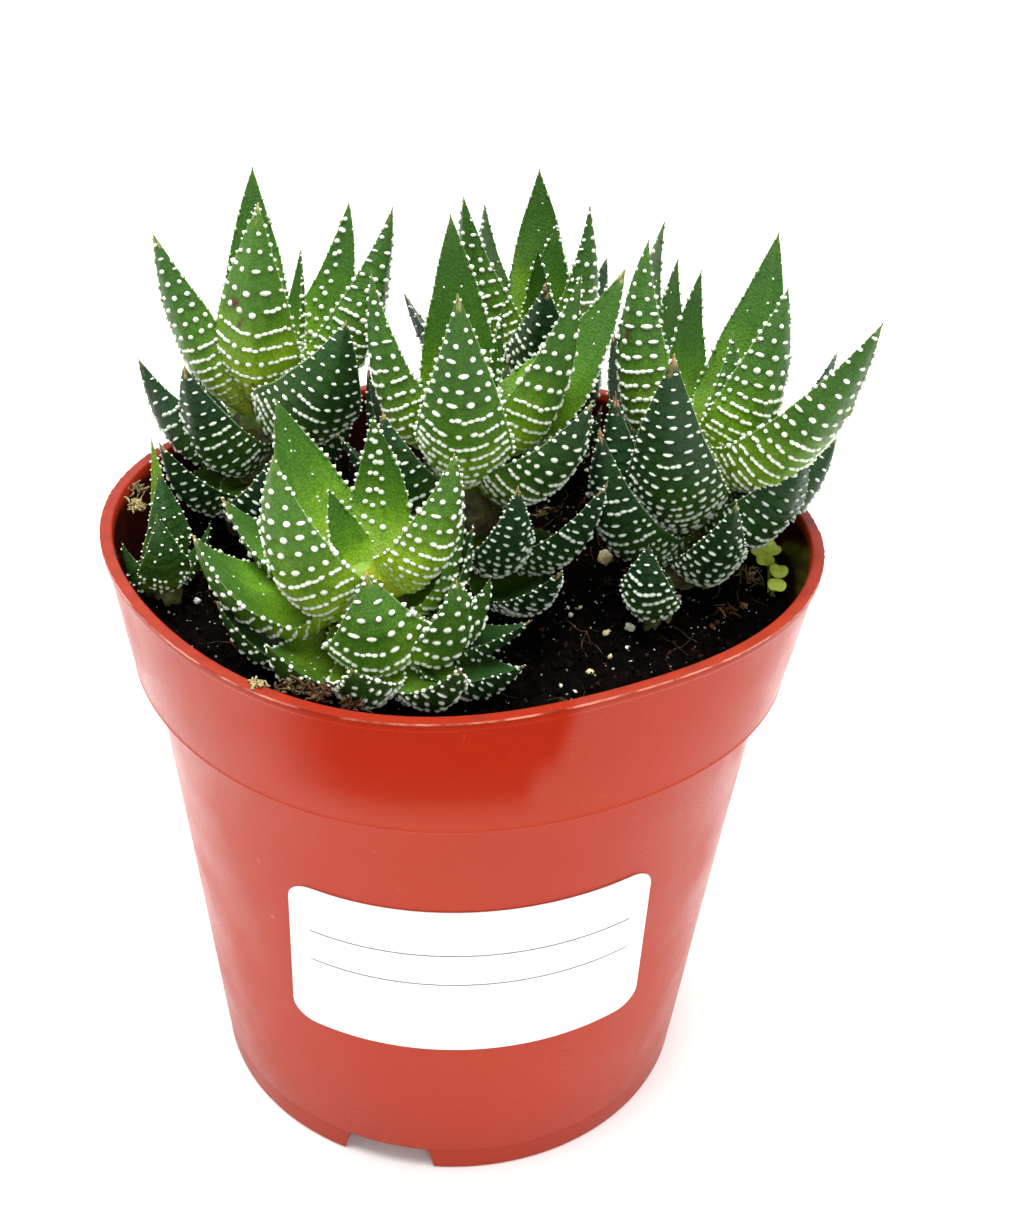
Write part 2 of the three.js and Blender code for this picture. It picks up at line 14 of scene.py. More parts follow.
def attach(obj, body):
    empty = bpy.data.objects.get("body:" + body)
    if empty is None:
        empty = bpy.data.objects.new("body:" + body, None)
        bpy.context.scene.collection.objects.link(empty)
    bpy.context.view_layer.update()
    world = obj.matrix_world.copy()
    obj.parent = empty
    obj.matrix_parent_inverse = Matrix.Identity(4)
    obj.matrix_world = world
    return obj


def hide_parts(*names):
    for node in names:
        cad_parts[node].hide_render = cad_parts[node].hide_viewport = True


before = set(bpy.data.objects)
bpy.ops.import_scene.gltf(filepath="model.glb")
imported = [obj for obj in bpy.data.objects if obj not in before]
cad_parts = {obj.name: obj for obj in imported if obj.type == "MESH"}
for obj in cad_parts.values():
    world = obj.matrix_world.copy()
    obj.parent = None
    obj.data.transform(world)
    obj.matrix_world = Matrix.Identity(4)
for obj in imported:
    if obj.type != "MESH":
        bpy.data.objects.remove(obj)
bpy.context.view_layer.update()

MM = 0.001


def link(name, data):
    """A new object in the scene, with this mesh, camera or light."""
    thing = bpy.data.objects.new(name, data)
    bpy.context.scene.collection.objects.link(thing)
    return thing


# ---- Camera ----

PHOTO_HEIGHT = 1229                 # pixels
FOCAL_PIXELS = 1750
SENSOR = 36.0
CAMERA_AT = (0.0, -0.2337, 0.2333)  # metres
CAMERA_YAW = 0.0348                 # radians, to the right of straight ahead
CAMERA_PITCH = 0.5713               # radians, down
CAMERA_ROLL = 0.0439


def add_camera():
    ahead = Vector((math.sin(CAMERA_YAW) * math.cos(CAMERA_PITCH),
                    math.cos(CAMERA_YAW) * math.cos(CAMERA_PITCH),
                    -math.sin(CAMERA_PITCH)))
    level = Vector((math.cos(CAMERA_YAW), -math.sin(CAMERA_YAW), 0))
    above = level.cross(ahead)
    right = math.cos(CAMERA_ROLL) * level + math.sin(CAMERA_ROLL) * above
    up = -math.sin(CAMERA_ROLL) * level + math.cos(CAMERA_ROLL) * above
    data = bpy.data.cameras.new("camera")
    data.sensor_width = SENSOR
    data.lens = FOCAL_PIXELS * SENSOR / PHOTO_HEIGHT
    camera = link("camera", data)
    turn = Matrix((right, up, -ahead)).transposed().to_4x4()
    camera.matrix_world = Matrix.Translation(CAMERA_AT) @ turn
    bpy.context.scene.camera = camera


add_camera()

# ---- Dimensions of the pot, label and soil, as in the part ----

POT_HEIGHT = 100
RIM_RADIUS = 53
BAND_HEIGHT = 20.4
BAND_FOOT_RADIUS = 50.5
WALL_TOP_RADIUS = 48
FOOT_RADIUS = 40.2
WALL = 1.3
LIP = 1.8
FLOOR_UNDERSIDE = 4.6
FLOOR_TOP = 6.2
FOOT_RING = 2.6
BAND_FOOT = POT_HEIGHT - BAND_HEIGHT

OUT_OF_ROUND = {"cos2": 0.0236, "sin2": 0.0179, "cos4": 0.0144, "sin4": -0.0216}
SQUEEZE_AT_BAND_FOOT = 0.4

NOTCH = {"count": 3, "azimuth": -104, "height": 4.3, "foot": 15.5, "top": 13.5}
DRAIN = {"count": 4, "radius": 3.5, "circle": 24, "azimuth": 20}
LABEL = {"low": 31, "high": 61.7, "azimuth": -86, "half_width": 27, "corner": 3.5}

SOIL_LEVEL = 88
SOIL_BUMP = 0.35
GAP = 0.3                           # between the soil and the pot

# ---- Leafy stems, as in the part ----
# A leaf: height of its root on the stem above the soil, x, y, z of its tip, width, bow,
# twist in degrees, reach of its root off the axis, then age from 0 (young, bright)
# to 1 (old, nearly black) and the colour of its tip.

SHOOTS = {
    "shoot_front": {"foot": (-12, -19), "top": (-14, -20, 104), "stem": 6, "leaves": [
        (14, -19, -17, 114, 7, 0.04, 0, 0, 0.0, "green"),
        (15, -13.1, -12, 122.9, 9, 0.14, 10, 3, 0.0, "green"),
        (15, -27, -7.5, 123.1, 13, 0.10, 5, 4, 0.1, "green"),
        (13, -25, -30, 126, 15, 0.12, 15, 3, 0.1, "green"),
        (14, -1.4, -23, 123.3, 12, 0.08, -45, 4, 0.1, "pale"),
        (13, -37, -26, 111.5, 16.5, 0.20, 0, 5, 0.2, "tan"),
        (13, -35, -12, 109.5, 12, 0.12, 20, 5, 0.4, "pink"),
        (8, -12.7, -33.5, 110.6, 15, 0.24, 0, 5, 0.2, "pink"),
        (7, -1, -32, 109.5, 14, 0.22, -5, 5, 0.3, "pale"),
        (6, 4, -28.5, 107.5, 13, 0.15, -5, 5, 0.4, "green"),
        (8, 0, -18.5, 113.5, 11, 0.10, -5, 3, 0.3, "pale"),
        (6, 1.5, -17, 109, 10, 0.13, 0, 4, 0.6, "brown"),
        (6.5, -26, -39, 102.5, 11.5, 0.16, -15, 8, 0.4, "pink"),
        (6, -34, -28, 102, 12.5, 0.19, 0, 7, 0.6, "tan"),
        (5.5, -14, -46, 103.5, 10.5, 0.13, -5, 9, 0.4, "pale"),
        (6, 0, -45, 103.3, 11, 0.19, -12, 9, 0.5, "pink"),
        (6, 9, -36, 98, 13, 0.20, -15, 9, 0.8, "pink"),
        (6.5, 10, -27, 99.5, 11.5, 0.16, -10, 6, 0.8, "brown"),
        (9, -12.5, -8.5, 110, 10, 0.12, 0, 1, 0.5, "tan"),
        (6, -21, -5, 104, 11, 0.18, 0, 2, 0.7, "tan"),
        (5, -1, -9, 101, 10, 0.16, 0, 2, 0.8, "tan"),
    ]},
    "shoot_back_left": {"foot": (-34, 19), "top": (-31.2, 25, 114), "stem": 6, "leaves": [
        (25, -26.5, 29, 132, 7, 0.03, 35, 1, 0.0, "green"),
        (24, -35, 40, 140.8, 12.5, 0.05, -10, 1, 0.1, "green"),
        (23.5, -31.5, 17.5, 143, 13.5, 0.10, 0, 2.5, 0.1, "pale"),
        (21, -48, 20.5, 136.8, 10.5, 0.05, 40, 4, 0.1, "tan"),
        (24, -19.3, 35, 137.5, 11, 0.07, 30, 3.5, 0.1, "green"),
        (22.5, -12, 26, 140, 12, 0.08, -35, 5, 0.1, "green"),
        (22, -18, 7.5, 129, 17, 0.21, -15, 4, 0.7, "yellow"),
        (12.5, -43, 11, 119.5, 13.5, 0.13, 10, 2, 0.8, "tan"),
        (13, -51.2, 17.5, 117.5, 14, 0.13, 25, 3, 0.9, "tan"),
        (8.5, -46, 2, 111, 13, 0.16, 0, 4, 0.9, "tan"),
        (8, -28, 0, 111, 15, 0.26, 0, 3, 0.9, "brown"),
        (15, -37.5, 40, 115, 10, 0.10, 0, 1, 0.4, "tan"),
        (11, -24, 44, 119, 12, 0.16, 0, 2, 0.7, "tan"),
        (9, -18, 22, 114, 11.5, 0.14, 0, 2, 0.9, "brown"),
        (7, -28, 36, 107, 11, 0.20, 0, 2, 0.9, "brown"),
        (11, -45, 30, 112, 10, 0.12, 0, 2, 0.8, "tan"),
    ]},
    "shoot_centre": {"foot": (1, 3), "top": (-1.5, 6.5, 113), "stem": 6, "leaves": [
        (24, 5.2, 8, 133, 8, 0.03, 0, 1, 0.0, "green"),
        (23, 4.2, 5, 128, 7, 0.03, 10, 2, 0.0, "green"),
        (21, -1.5, -13, 142.2, 14, 0.13, -15, 5, 0.1, "yellow"),
        (23.5, 16, 2.5, 139.3, 14, 0.06, -15, 6, 0.1, "green"),
        (23, 23.3, 13.5, 136.3, 13.5, 0.10, 40, 4, 0.1, "tan"),
        (21.5, -3, 17, 142.3, 12.5, 0.03, 0, 3, 0.1, "green"),
        (23, -14.2, 7, 137, 11.2, 0.10, 28, 2, 0.1, "yellow"),
        (20, 17.6, -11, 125.8, 15, 0.14, -15, 6, 0.6, "pale"),
        (17, -12, -5, 120.5, 13, 0.16, 0, 5, 0.8, "brown"),
        (10, 7.5, -20, 117, 11, 0.20, 0, 7, 0.9, "pale"),
        (8, 20.4, -14.5, 115.2, 12, 0.14, -5, 8, 0.9, "brown"),
        (6, 14, -24, 106, 12, 0.16, 5, 9, 0.9, "tan"),
        (14, -19, 2, 113, 12, 0.12, 0, 1, 0.9, "tan"),
        (12, -15, 10, 121, 12, 0.14, 0, 1, 0.9, "pink"),
        (14, 17, 14, 120, 12, 0.18, 0, 1, 0.7, "tan"),
        (12, -2, 15, 116, 12, 0.18, 0, 1, 0.8, "tan"),
        (7, -6, -4, 107, 11, 0.18, 0, 2, 0.9, "brown"),
    ]},
    "shoot_right": {"foot": (36, 6), "top": (37.8, 10, 110), "stem": 6, "leaves": [
        (22, 40.2, 12, 127, 7.5, 0.06, -10, 1, 0.0, "green"),
        (21, 26, 10, 142, 12.5, 0.11, 20, 4.5, 0.1, "green"),
        (21.5, 29.4, 20.5, 141.5, 11.5, 0.12, -5, 3.5, 0.1, "green"),
        (21.5, 32.3, 24, 134, 10.5, 0.12, 5, 3.5, 0.1, "green"),
        (21.5, 35.7, 21, 133.3, 9, 0.10, 0, 3, 0.1, "green"),
        (21, 48, 27, 137.5, 12, 0.06, 20, 3, 0.1, "green"),
        (21, 46.8, 7.5, 136.2, 13, 0.06, -15, 2, 0.1, "green"),
        (20, 55.8, -15, 140.7, 13.5, 0.11, -10, 4, 0.2, "green"),
        (17, 56.1, 10, 125.8, 11, 0.09, 5, 4, 0.8, "brown"),
        (13, 28.8, -9.5, 132.8, 15, 0.14, 10, 4, 0.8, "brown"),
        (11, 49.9, -5, 118.8, 13, 0.20, -20, 3, 0.9, "pale"),
        (12, 56, 2, 115, 12, 0.16, -30, 4, 0.9, "pale"),
        (6, 38.7, -17, 113.6, 11.5, 0.14, 10, 5, 0.9, "pale"),
        (8, 22, 1, 121.8, 13, 0.14, 15, 4, 0.8, "pink"),
        (7, 19.5, -6, 119.3, 14, 0.16, 10, 5, 0.9, "brown"),
        (12, 45, 34, 121, 12, 0.16, 0, 1, 0.7, "tan"),
        (12, 23, 24, 122, 12, 0.14, 0, 1, 0.8, "tan"),
        (8, 34, 23, 110, 12, 0.18, 0, 2, 0.9, "tan"),
        (8, 49, 20, 111, 11, 0.16, 0, 2, 0.9, "tan"),
    ]},
    "shoot_back": {"foot": (13, 37), "top": (12, 37, 116), "stem": 5, "leaves": [
        (25, 11, 46, 140, 10.5, 0.06, 0, 1.5, 0.1, "green"),
        (25, 14, 42, 132, 9, 0.03, 0, 0, 0.1, "green"),
        (24.5, 19, 37, 137.5, 12, 0.05, -30, 2, 0.2, "green"),
        (26, 11, 36.5, 130, 7, 0.03, 0, 1, 0.3, "green"),
        (21.5, 11.8, 21, 130.3, 13, 0.13, -25, 2, 0.8, "brown"),
        (24, -1.2, 34, 139.2, 12, 0.07, 30, 3, 0.2, "green"),
        (24, 2.2, 40.5, 136, 10.5, 0.08, 0, 3, 0.2, "green"),
        (20, 23, 45, 125.8, 10.5, 0.09, -10, 3, 0.8, "tan"),
        (17.5, -11, 40, 120.8, 12, 0.13, 10, 4, 0.9, "brown"),
        (15, 8, 51, 124, 11, 0.16, 0, 1, 0.4, "tan"),
        (14, 21, 30, 118, 11, 0.16, 0, 1, 0.8, "tan"),
        (12, 3, 29, 114, 11, 0.16, 0, 1, 0.8, "tan"),
        (10, 22, 45, 112, 10, 0.14, 0, 1, 0.8, "tan"),
        (9, 5, 47, 111, 10, 0.14, 0, 1, 0.8, "tan"),
        (6, 13, 25, 106, 10, 0.18, 0, 1, 0.9, "brown"),
        (5, 23, 35, 103, 9, 0.16, 0, 1, 0.9, "brown"),
        (5, 3, 36, 102, 9, 0.16, 0, 1, 0.9, "brown"),
    ]},
    "shoot_left": {"foot": (-45.2, -5), "top": (-46, -4, 96), "stem": 2.4, "leaves": [
        (5, -44.8, -6, 110, 8, 0.10, 0, 0, 0.6, "green"),
        (5, -46.9, 1, 112, 3.6, 0.04, 0, 0, 0.0, "yellow"),
        (4, -44.6, -11, 105.7, 8, 0.18, 0, 0, 0.6, "green"),
        (3, -51, -7, 98.5, 8, 0.10, 0, 0, 0.6, "green"),
        (3, -38.3, -2, 99.8, 6, 0.12, 0, 0, 0.6, "green"),
    ]},
    "pup_right": {"foot": (29.8, -9), "top": (29.8, -9, 94), "stem": 2.5, "leaves": [
        (4.5, 26.9, -16, 105.8, 9.2, 0.12, 0, 1.5, 0.9, "green"),
        (3, 29.8, -7, 97, 6, 0.14, 0, 0, 0.9, "green"),
    ]},
}

# What is particular to a stem, or to one leaf by its place in the stem's list: how much paler
# it is, the spacing and size of its studs, how far its root's colour gives way to the tip's,
# columns of studs on its inner face, and its scars, each at a share of the length, at a place
# from -1 to 1 across and with a radius.
PLAIN_LEAF = {"bright": 0.0, "spacing": 1.0, "fine": 1.0, "ripe": 1.0, "columns": (), "scars": ()}
TRAITS = {
    "shoot_front": {"bright": 1.0},
    ("shoot_front", 1): {"columns": (-0.12, 0.22, 0.55)},
    ("shoot_front", 3): {"scars": [(0.22, -0.2, 0.05)]},
    ("shoot_back_left", 2): {"bright": 0.7, "spacing": 1.3,
                             "scars": [(0.58, -0.5, 0.035), (0.50, -0.25, 0.03)]},
    ("shoot_back_left", 3): {"spacing": 1.1},
    ("shoot_back_left", 4): {"columns": (0.35, 0.7)},
    ("shoot_centre", 3): {"spacing": 1.2},
    ("shoot_right", 1): {"scars": [(0.66, -0.1, 0.045)]},
    ("shoot_right", 2): {"spacing": 1.1},
    ("shoot_right", 7): {"spacing": 1.15},
    ("shoot_back", 5): {"columns": (0.5,)},
    "shoot_left": {"bright": 0.4, "fine": 0.62},
    ("shoot_left", 1): {"ripe": 0.3},
}

CLOVER = {
    "foot": (48.5, 0.5), "rooted": 1.5, "leaflet": 2.75, "thick": 0.26, "stalk": 0.3,
    "heads": [((48.5, 6, 91.9), (148, 45, 258)), ((49.4, -0.6, 91.3), (78, 262))],
    "tilt": 24,                     # degrees, towards the front
}

# How a leaf's cross-section changes along it, as shares of its width or length.
WIDEST_AT = 0.3
ROOT_SHARE = 0.7
TAPER = 1.6
BACK_DEPTH = 0.39
THINNING = 0.25                     # how much flatter the back is at the tip
KEEL = (2.4, 1.3)                   # power of the back's outline, at the root and at the tip
FACE_HOLLOW = 0.08
CLASP = 0.35                        # how far the margins of the root clasp the stem
BEND_AT = 0.42                      # where the bow pulls the leaf outwards
BOW_LENGTH = 2.6                    # what the square of the bow adds to a leaf's length
SWAY = 0.012                        # how far a leaf strays sideways, at most
SHEATH_SHARE = 0.8
SHEATH_DROP = 0.8                   # a leaf's sheath runs back to the stem, as in the part
CURL = 7                            # degrees by which the tip is turned further, at most
TIP_HALF_WIDTH = 0.12               # mm
TIP_POINT = 0.2                     # mm that the skin closes in beyond the tip

# Sizes on a leaf, in millimetres.
BAND_PITCH = (1.55, 2.35, 1.75)     # between rows of studs, at the root, halfway and near the tip
BAND_STEP = 0.17                    # the skin rises to each row and drops behind it
FULL_WIDTH = 15                     # a narrower leaf has smaller studs in closer rows
FULL_STEP_WIDTH = 12                # and lower steps
FULL_TOOTH_WIDTH = 13               # and shorter teeth
WIDE_LEAF = 10                      # a wider one has a finer mesh, and studs on a young face
BEAD = (0.66, 0.43)                 # half sizes of a stud in a row, across and along
DOT = (0.76, 0.64)                  # and of a stud that stands alone
DASH = (0.80, 0.34)                 # and of a long one on an old leaf
STUD_HEIGHT = 0.42
TOOTH_PITCH = 1.35
TOOTH_LENGTH = 0.42

# The studs of the back. Shares are of a leaf's length or, across it, of the back's arc.
BANDS = (0.05, 0.96)                # the first and the last row
OLD_AGES = (0.4, 0.8)               # between these ages the young look gives way to the old
OLD_PITCH = 0.84                    # the rows of an old leaf are closer
ARC = 1.22                          # the arc from the keel to a margin, per half width
ROW = (-0.93, 0.95)                 # where a row of studs starts and ends across the arc
CHAIN = (2, 7)                      # beads in a chain, from the first up to but not the last
CHAIN_GAP = (0.2, 0.8)              # mm between chains
BEAD_PITCH = 1.24                   # between beads, per half size
DASH_PITCH = 1.9                    # between dashes, per half size, and what is added in mm
DASH_GAP = (0.15, 0.6)
DOT_GAP = (0.7, 1.3)                # mm that are added between dots
LONG_DOTS = (0.2, 0.45)             # share of dots that are wide and short, young and old
LONG_DOT = (1.55, 0.8)

# How many studs are beads in a row, and between which shares of the length that ends.
YOUNG_BEADS = (0.95, 0.34, 0.6)
OLD_BEADS = (0.5, 0.5, 0.8)
DASHES = 0.75                       # share of long studs on an old leaf
SPARSE_SHARE = 0.6                  # share of the studs that is there where they are fine

# How strongly each kind of tip is dry, and how far it leans from tan to red.
TIPS = {
    "green": (0.15, 0.0), "pale": (0.6, 0.0), "yellow": (0.45, 0.0),
    "tan": (0.9, 0.2), "brown": (1.0, 0.5), "pink": (0.95, 0.75),
}


# ---- Meshes from arrays ----

class Build:
    """Gathers the parts of one mesh: points in millimetres, faces and point attributes."""

    def __init__(self):
        self.points, self.count, self.attributes = [], 0, {}
        self.faces = {4: [], 3: []}

    def add(self, points, quads=(), triangles=(), material=0, **attributes):
        points = np.asarray(points, float).reshape(-1, 3)
        for sides, faces in ((4, quads), (3, triangles)):
            if len(faces):
                faces = np.asarray(faces, int).reshape(-1, sides) + self.count
                self.faces[sides].append((faces, material))
        for name, value in attributes.items():
            value = np.asarray(value, float)
            values = np.broadcast_to(value.ravel() if value.ndim else value, len(points))
            self.attributes.setdefault(name, []).append((self.count, values))
        self.points.append(points)
        self.count += len(points)

    def add_tubes(self, rings, ends, material=0, **attributes):
        """Closed tubes, each from its rings of points and the two points that close its ends."""
        rings, ends = np.asarray(rings, float), np.asarray(ends, float)
        if rings.ndim == 3:
            rings, ends = rings[None], ends[None]
        tubes, rows, sides = rings.shape[:3]
        first, count = np.arange(sides), rows * sides
        caps = np.concatenate([fan_faces(first, count)[:, ::-1],
                               fan_faces(first + count - sides, count + 1)])
        offset = (np.arange(tubes) * (count + 2))[:, None, None]
        self.add(np.concatenate([rings.reshape(tubes, -1, 3), ends], 1),
                 grid_faces(rows, sides, True) + offset, caps + offset, material, **attributes)

    def mesh(self, name):
        parts = self.faces[4] + self.faces[3]
        corners = np.concatenate([faces.ravel() for faces, _ in parts])
        sizes = np.concatenate([np.full(len(faces), faces.shape[1]) for faces, _ in parts])
        materials = np.concatenate([np.full(len(faces), material) for faces, material in parts])
        mesh = bpy.data.meshes.new(name)
        mesh.vertices.add(self.count)
        mesh.vertices.foreach_set("co", (np.concatenate(self.points) * MM).ravel())
        mesh.loops.add(len(corners))
        mesh.loops.foreach_set("vertex_index", corners)
        mesh.polygons.add(len(sizes))
        mesh.polygons.foreach_set("loop_start", np.cumsum(sizes) - sizes)
        mesh.polygons.foreach_set("material_index", materials)
        mesh.polygons.foreach_set("use_smooth", np.ones(len(sizes), bool))
        for attribute, spans in self.attributes.items():
            values = np.zeros(self.count, np.float32)
            for start, span in spans:
                values[start:start + len(span)] = span
            mesh.attributes.new(attribute, "FLOAT", "POINT").data.foreach_set("value", values)
        mesh.update(calc_edges=True)
        mesh.validate()
        return mesh


def add_piece(name, shape, materials, replaces=None, sharp=None):
    """A piece from a build or a mesh. Its edges are sharp from an angle in degrees."""
    mesh = shape.mesh(name) if isinstance(shape, Build) else shape
    if sharp:
        mesh.set_sharp_from_angle(angle=math.radians(sharp))
    for material in materials:
        mesh.materials.append(material)
    piece = link(name, mesh)
    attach(piece, "root")
    if replaces:
        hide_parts(replaces)


def grid_faces(rows, columns, closed):
    """Quads between rows of a grid of points. A closed grid joins its last column to its first."""
    row = np.arange(rows - 1)[:, None] * columns
    column = np.arange(columns if closed else columns - 1)[None, :]
    beside = (column + 1) % columns
    return np.stack([row + column, row + beside, row + beside + columns,
                     row + column + columns], -1).reshape(-1, 4)


def fan_faces(ring, centre):
    return np.stack([np.full(len(ring), centre), ring, np.roll(ring, -1)], -1)


def round_angles(count):
    return np.arange(count) * 2 * math.pi / count


def around(radius, angle, z):
    """Points at a radius and an angle about Z."""
    return np.stack(np.broadcast_arrays(radius * np.cos(angle), radius * np.sin(angle), z), -1)


def curve(start, middle, end, share):
    """Points along a quadratic curve that bends towards its middle point."""
    return (1 - share) ** 2 * start + 2 * share * (1 - share) * middle + share ** 2 * end


def unit(vectors):
    vectors = np.asarray(vectors, float)
    return vectors / np.linalg.norm(vectors, axis=-1, keepdims=True)


def blend(low, high, share):
    return low + (high - low) * share


def smooth_step(low, high, value):
    share = np.clip((value - low) / (high - low), 0, 1)
    return share * share * (3 - 2 * share)


class Ripple:
    """Smooth noise from -1 to 1 or so: a sum of sine waves in random directions."""

    def __init__(self, seed, size, dimensions=2, waves=14):
        rng = np.random.default_rng(seed)
        turns = unit(rng.normal(size=(waves, dimensions)))
        self.waves = turns * (2 * math.pi / size) * rng.uniform(0.6, 1.6, (waves, 1))
        self.phases = rng.uniform(0, 2 * math.pi, waves)

    def __call__(self, *place):
        place = np.stack(np.broadcast_arrays(*place), -1)
        return np.sin(place @ self.waves.T + self.phases).sum(-1) / math.sqrt(len(self.phases) / 2)


# ---- Materials ----

NOISE_SPAN = (0.3, 0.7)             # where nearly all the values of a noise lie


class Shader:
    """Adds nodes to one material. A value that is a socket is linked, any other is set."""

    def __init__(self, name):
        self.material = bpy.data.materials.new(name)
        self.material.use_nodes = True
        self.tree = self.material.node_tree
        self.surface = self.tree.nodes["Principled BSDF"]
        self.place = self.node("TexCoord").outputs["Object"]

    def put(self, socket, value):
        if isinstance(value, bpy.types.NodeSocket):
            self.tree.links.new(value, socket)
        elif isinstance(value, tuple) and len(value) == 3 and socket.type == "RGBA":
            socket.default_value = (*value, 1)
        else:
            socket.default_value = value

    def put_all(self, node, values):
        for key, value in values.items():
            self.put(node.inputs[key.replace("_", " ")], value)

    def node(self, kind, settings=(), **values):
        node = self.tree.nodes.new("ShaderNode" + kind)
        for key, value in dict(settings).items():
            setattr(node, key, value)
        self.put_all(node, values)
        return node

    def finish(self, **values):
        self.put_all(self.surface, values)
        return self.material

    def attributes(self, *names):
        return [self.node("Attribute", {"attribute_name": name}).outputs["Fac"] for name in names]

    def math(self, operation, first, second=0.0):
        node = self.node("Math", {"operation": operation})
        self.put(node.inputs[0], first)
        self.put(node.inputs[1], second)
        return node.outputs[0]

    def times(self, first, second):
        return self.math("MULTIPLY", first, second)

    def range(self, value, low, high, to_low=0.0, to_high=1.0):
        return self.node("MapRange", {"interpolation_type": "SMOOTHSTEP"}, Value=value,
                         From_Min=low, From_Max=high, To_Min=to_low, To_Max=to_high).outputs[0]

    def mix(self, share, first, second, kind="MIX"):
        node = self.node("Mix", {"data_type": "RGBA", "blend_type": kind})
        for place, value in ((0, share), (6, first), (7, second)):
            self.put(node.inputs[place], value)
        return node.outputs[2]

    def varied(self, noise, first, second):
        """A number or colour that goes from the first to the second as the noise rises."""
        if isinstance(first, tuple):
            return self.mix(self.range(noise, *NOISE_SPAN), first, second)
        return self.range(noise, *NOISE_SPAN, first, second)

    def ramp(self, share, stops):
        node = self.node("ValToRGB", Fac=share)
        ramp = node.color_ramp
        while len(ramp.elements) < len(stops):
            ramp.elements.new(0.5)
        for element, (position, colour) in zip(ramp.elements, stops):
            element.position = position
            element.color = (*colour, 1)
        return node.outputs[0]

    def noise(self, scale, detail=2.0, roughness=0.5, vector=None):
        return self.node("TexNoise", Vector=vector or self.place, Scale=scale, Detail=detail,
                         Roughness=roughness).outputs[0]

    def cells(self, scale, vector=None):
        return self.node("TexVoronoi", Vector=vector or self.place, Scale=scale).outputs["Distance"]

    def bump(self, height, distance, strength=1.0, normal=None):
        node = self.node("Bump", Height=height, Distance=distance, Strength=strength)
        if normal is not None:
            self.put(node.inputs["Normal"], normal)
        return node.outputs[0]

    def stretched(self, *parts):
        node = self.node("CombineXYZ")
        for socket, value in zip(node.inputs, parts):
            self.put(socket, value)
        return node.outputs[0]


def leaf_skin():
    s = Shader("leaf_skin")
    along, across, age, inner, seed = s.attributes("along", "across", "age", "inner", "seed")
    bright, dry, red, scar = s.attributes("bright", "dry", "red", "scar")
    shifted = s.math("ADD", along, s.range(s.noise(180, 3), 0.2, 0.8, -0.07, 0.07))
    young = s.ramp(shifted, [
        (0.0, (0.40, 0.48, 0.055)), (0.16, (0.32, 0.47, 0.030)), (0.31, (0.18, 0.345, 0.016)),
        (0.46, (0.078, 0.19, 0.012)), (0.62, (0.045, 0.132, 0.011)), (0.85, (0.036, 0.108, 0.013)),
        (1.0, (0.055, 0.13, 0.02)),
    ])
    old = s.ramp(shifted, [
        (0.0, (0.19, 0.20, 0.03)), (0.12, (0.085, 0.14, 0.018)), (0.3, (0.032, 0.086, 0.012)),
        (0.6, (0.0135, 0.048, 0.0125)), (1.0, (0.0115, 0.040, 0.015)),
    ])
    aged = s.math("ADD", age, s.range(s.noise(90, 2), 0.25, 0.75, -0.12, 0.12))
    colour = s.mix(s.range(aged, 0.05, 0.95), young, old)
    paler = s.times(bright, s.range(inner, 0.4, 1.0, 1.0, 0.35))
    colour = s.mix(paler, colour, (1.6, 1.4, 1.25), "MULTIPLY")
    # painted shade: the inner faces are darker towards the root, where the leaves crowd
    painted_root_shade = s.times(inner, s.range(along, 0.12, 0.65, 1.0, 0.0))
    colour = s.mix(painted_root_shade, colour, (0.38, 0.50, 0.42), "MULTIPLY")
    grain = s.stretched(s.times(across, 6.0), s.times(along, 2.0), seed)
    streaks = s.range(s.noise(1.0, 2, vector=grain), 0.35, 0.7)
    colour = s.mix(0.4, colour, s.mix(streaks, (0.8, 0.82, 0.8), (1.25, 1.2, 1.1)), "MULTIPLY")
    skin = s.cells(2600)
    dimples = s.mix(s.range(skin, 0.1, 0.75), (1.32, 1.25, 1.2), (0.66, 0.72, 0.7))
    colour = s.mix(0.7, colour, dimples, "MULTIPLY")
    margin = s.times(s.range(s.math("ABSOLUTE", across), 0.965, 1.0),
                     s.range(along, 0.3, 0.8, 0.15, 0.7))
    colour = s.mix(margin, colour, (0.45, 0.58, 0.28))
    fleck = s.noise(700, 3)
    tip = s.mix(red, (0.62, 0.50, 0.22), (0.50, 0.19, 0.12))
    wither = s.times(s.range(fleck, 0.5, 0.72), s.range(red, 0.0, 0.25))
    tip = s.mix(wither, tip, (0.17, 0.07, 0.035))
    colour = s.mix(dry, colour, tip)
    colour = s.mix(scar, colour, (0.07, 0.018, 0.008))
    normal = s.bump(s.noise(620, 3), 0.00012, 0.5, s.bump(skin, -0.00009, 0.7))
    return s.finish(Base_Color=colour, Roughness=s.varied(fleck, 0.38, 0.52), Normal=normal,
                    Subsurface_Weight=0.05, Subsurface_Radius=(0.6, 1.0, 0.2),
                    Subsurface_Scale=0.001, Specular_IOR_Level=0.22)


def stud_skin():
    s = Shader("leaf_studs")
    core, fade, age = s.attributes("core", "fade", "age")
    white = s.varied(s.noise(1900, 2), (0.70, 0.78, 0.60), (0.92, 0.94, 0.87))
    white = s.mix(s.range(age, 0.5, 1.0, 0.0, 0.6), white, (0.34, 0.45, 0.37))
    edge = s.mix(age, (0.16, 0.30, 0.07), (0.07, 0.13, 0.06))
    rooted = s.mix(age, (0.34, 0.46, 0.08), (0.15, 0.22, 0.08))
    colour = s.mix(fade, s.mix(s.range(core, 0.02, 0.62), edge, white), rooted)
    return s.finish(Base_Color=colour, Roughness=s.varied(s.noise(1200, 2), 0.3, 0.45),
                    Normal=s.bump(s.noise(3500, 2), 0.00004, 0.5), Specular_IOR_Level=0.35)


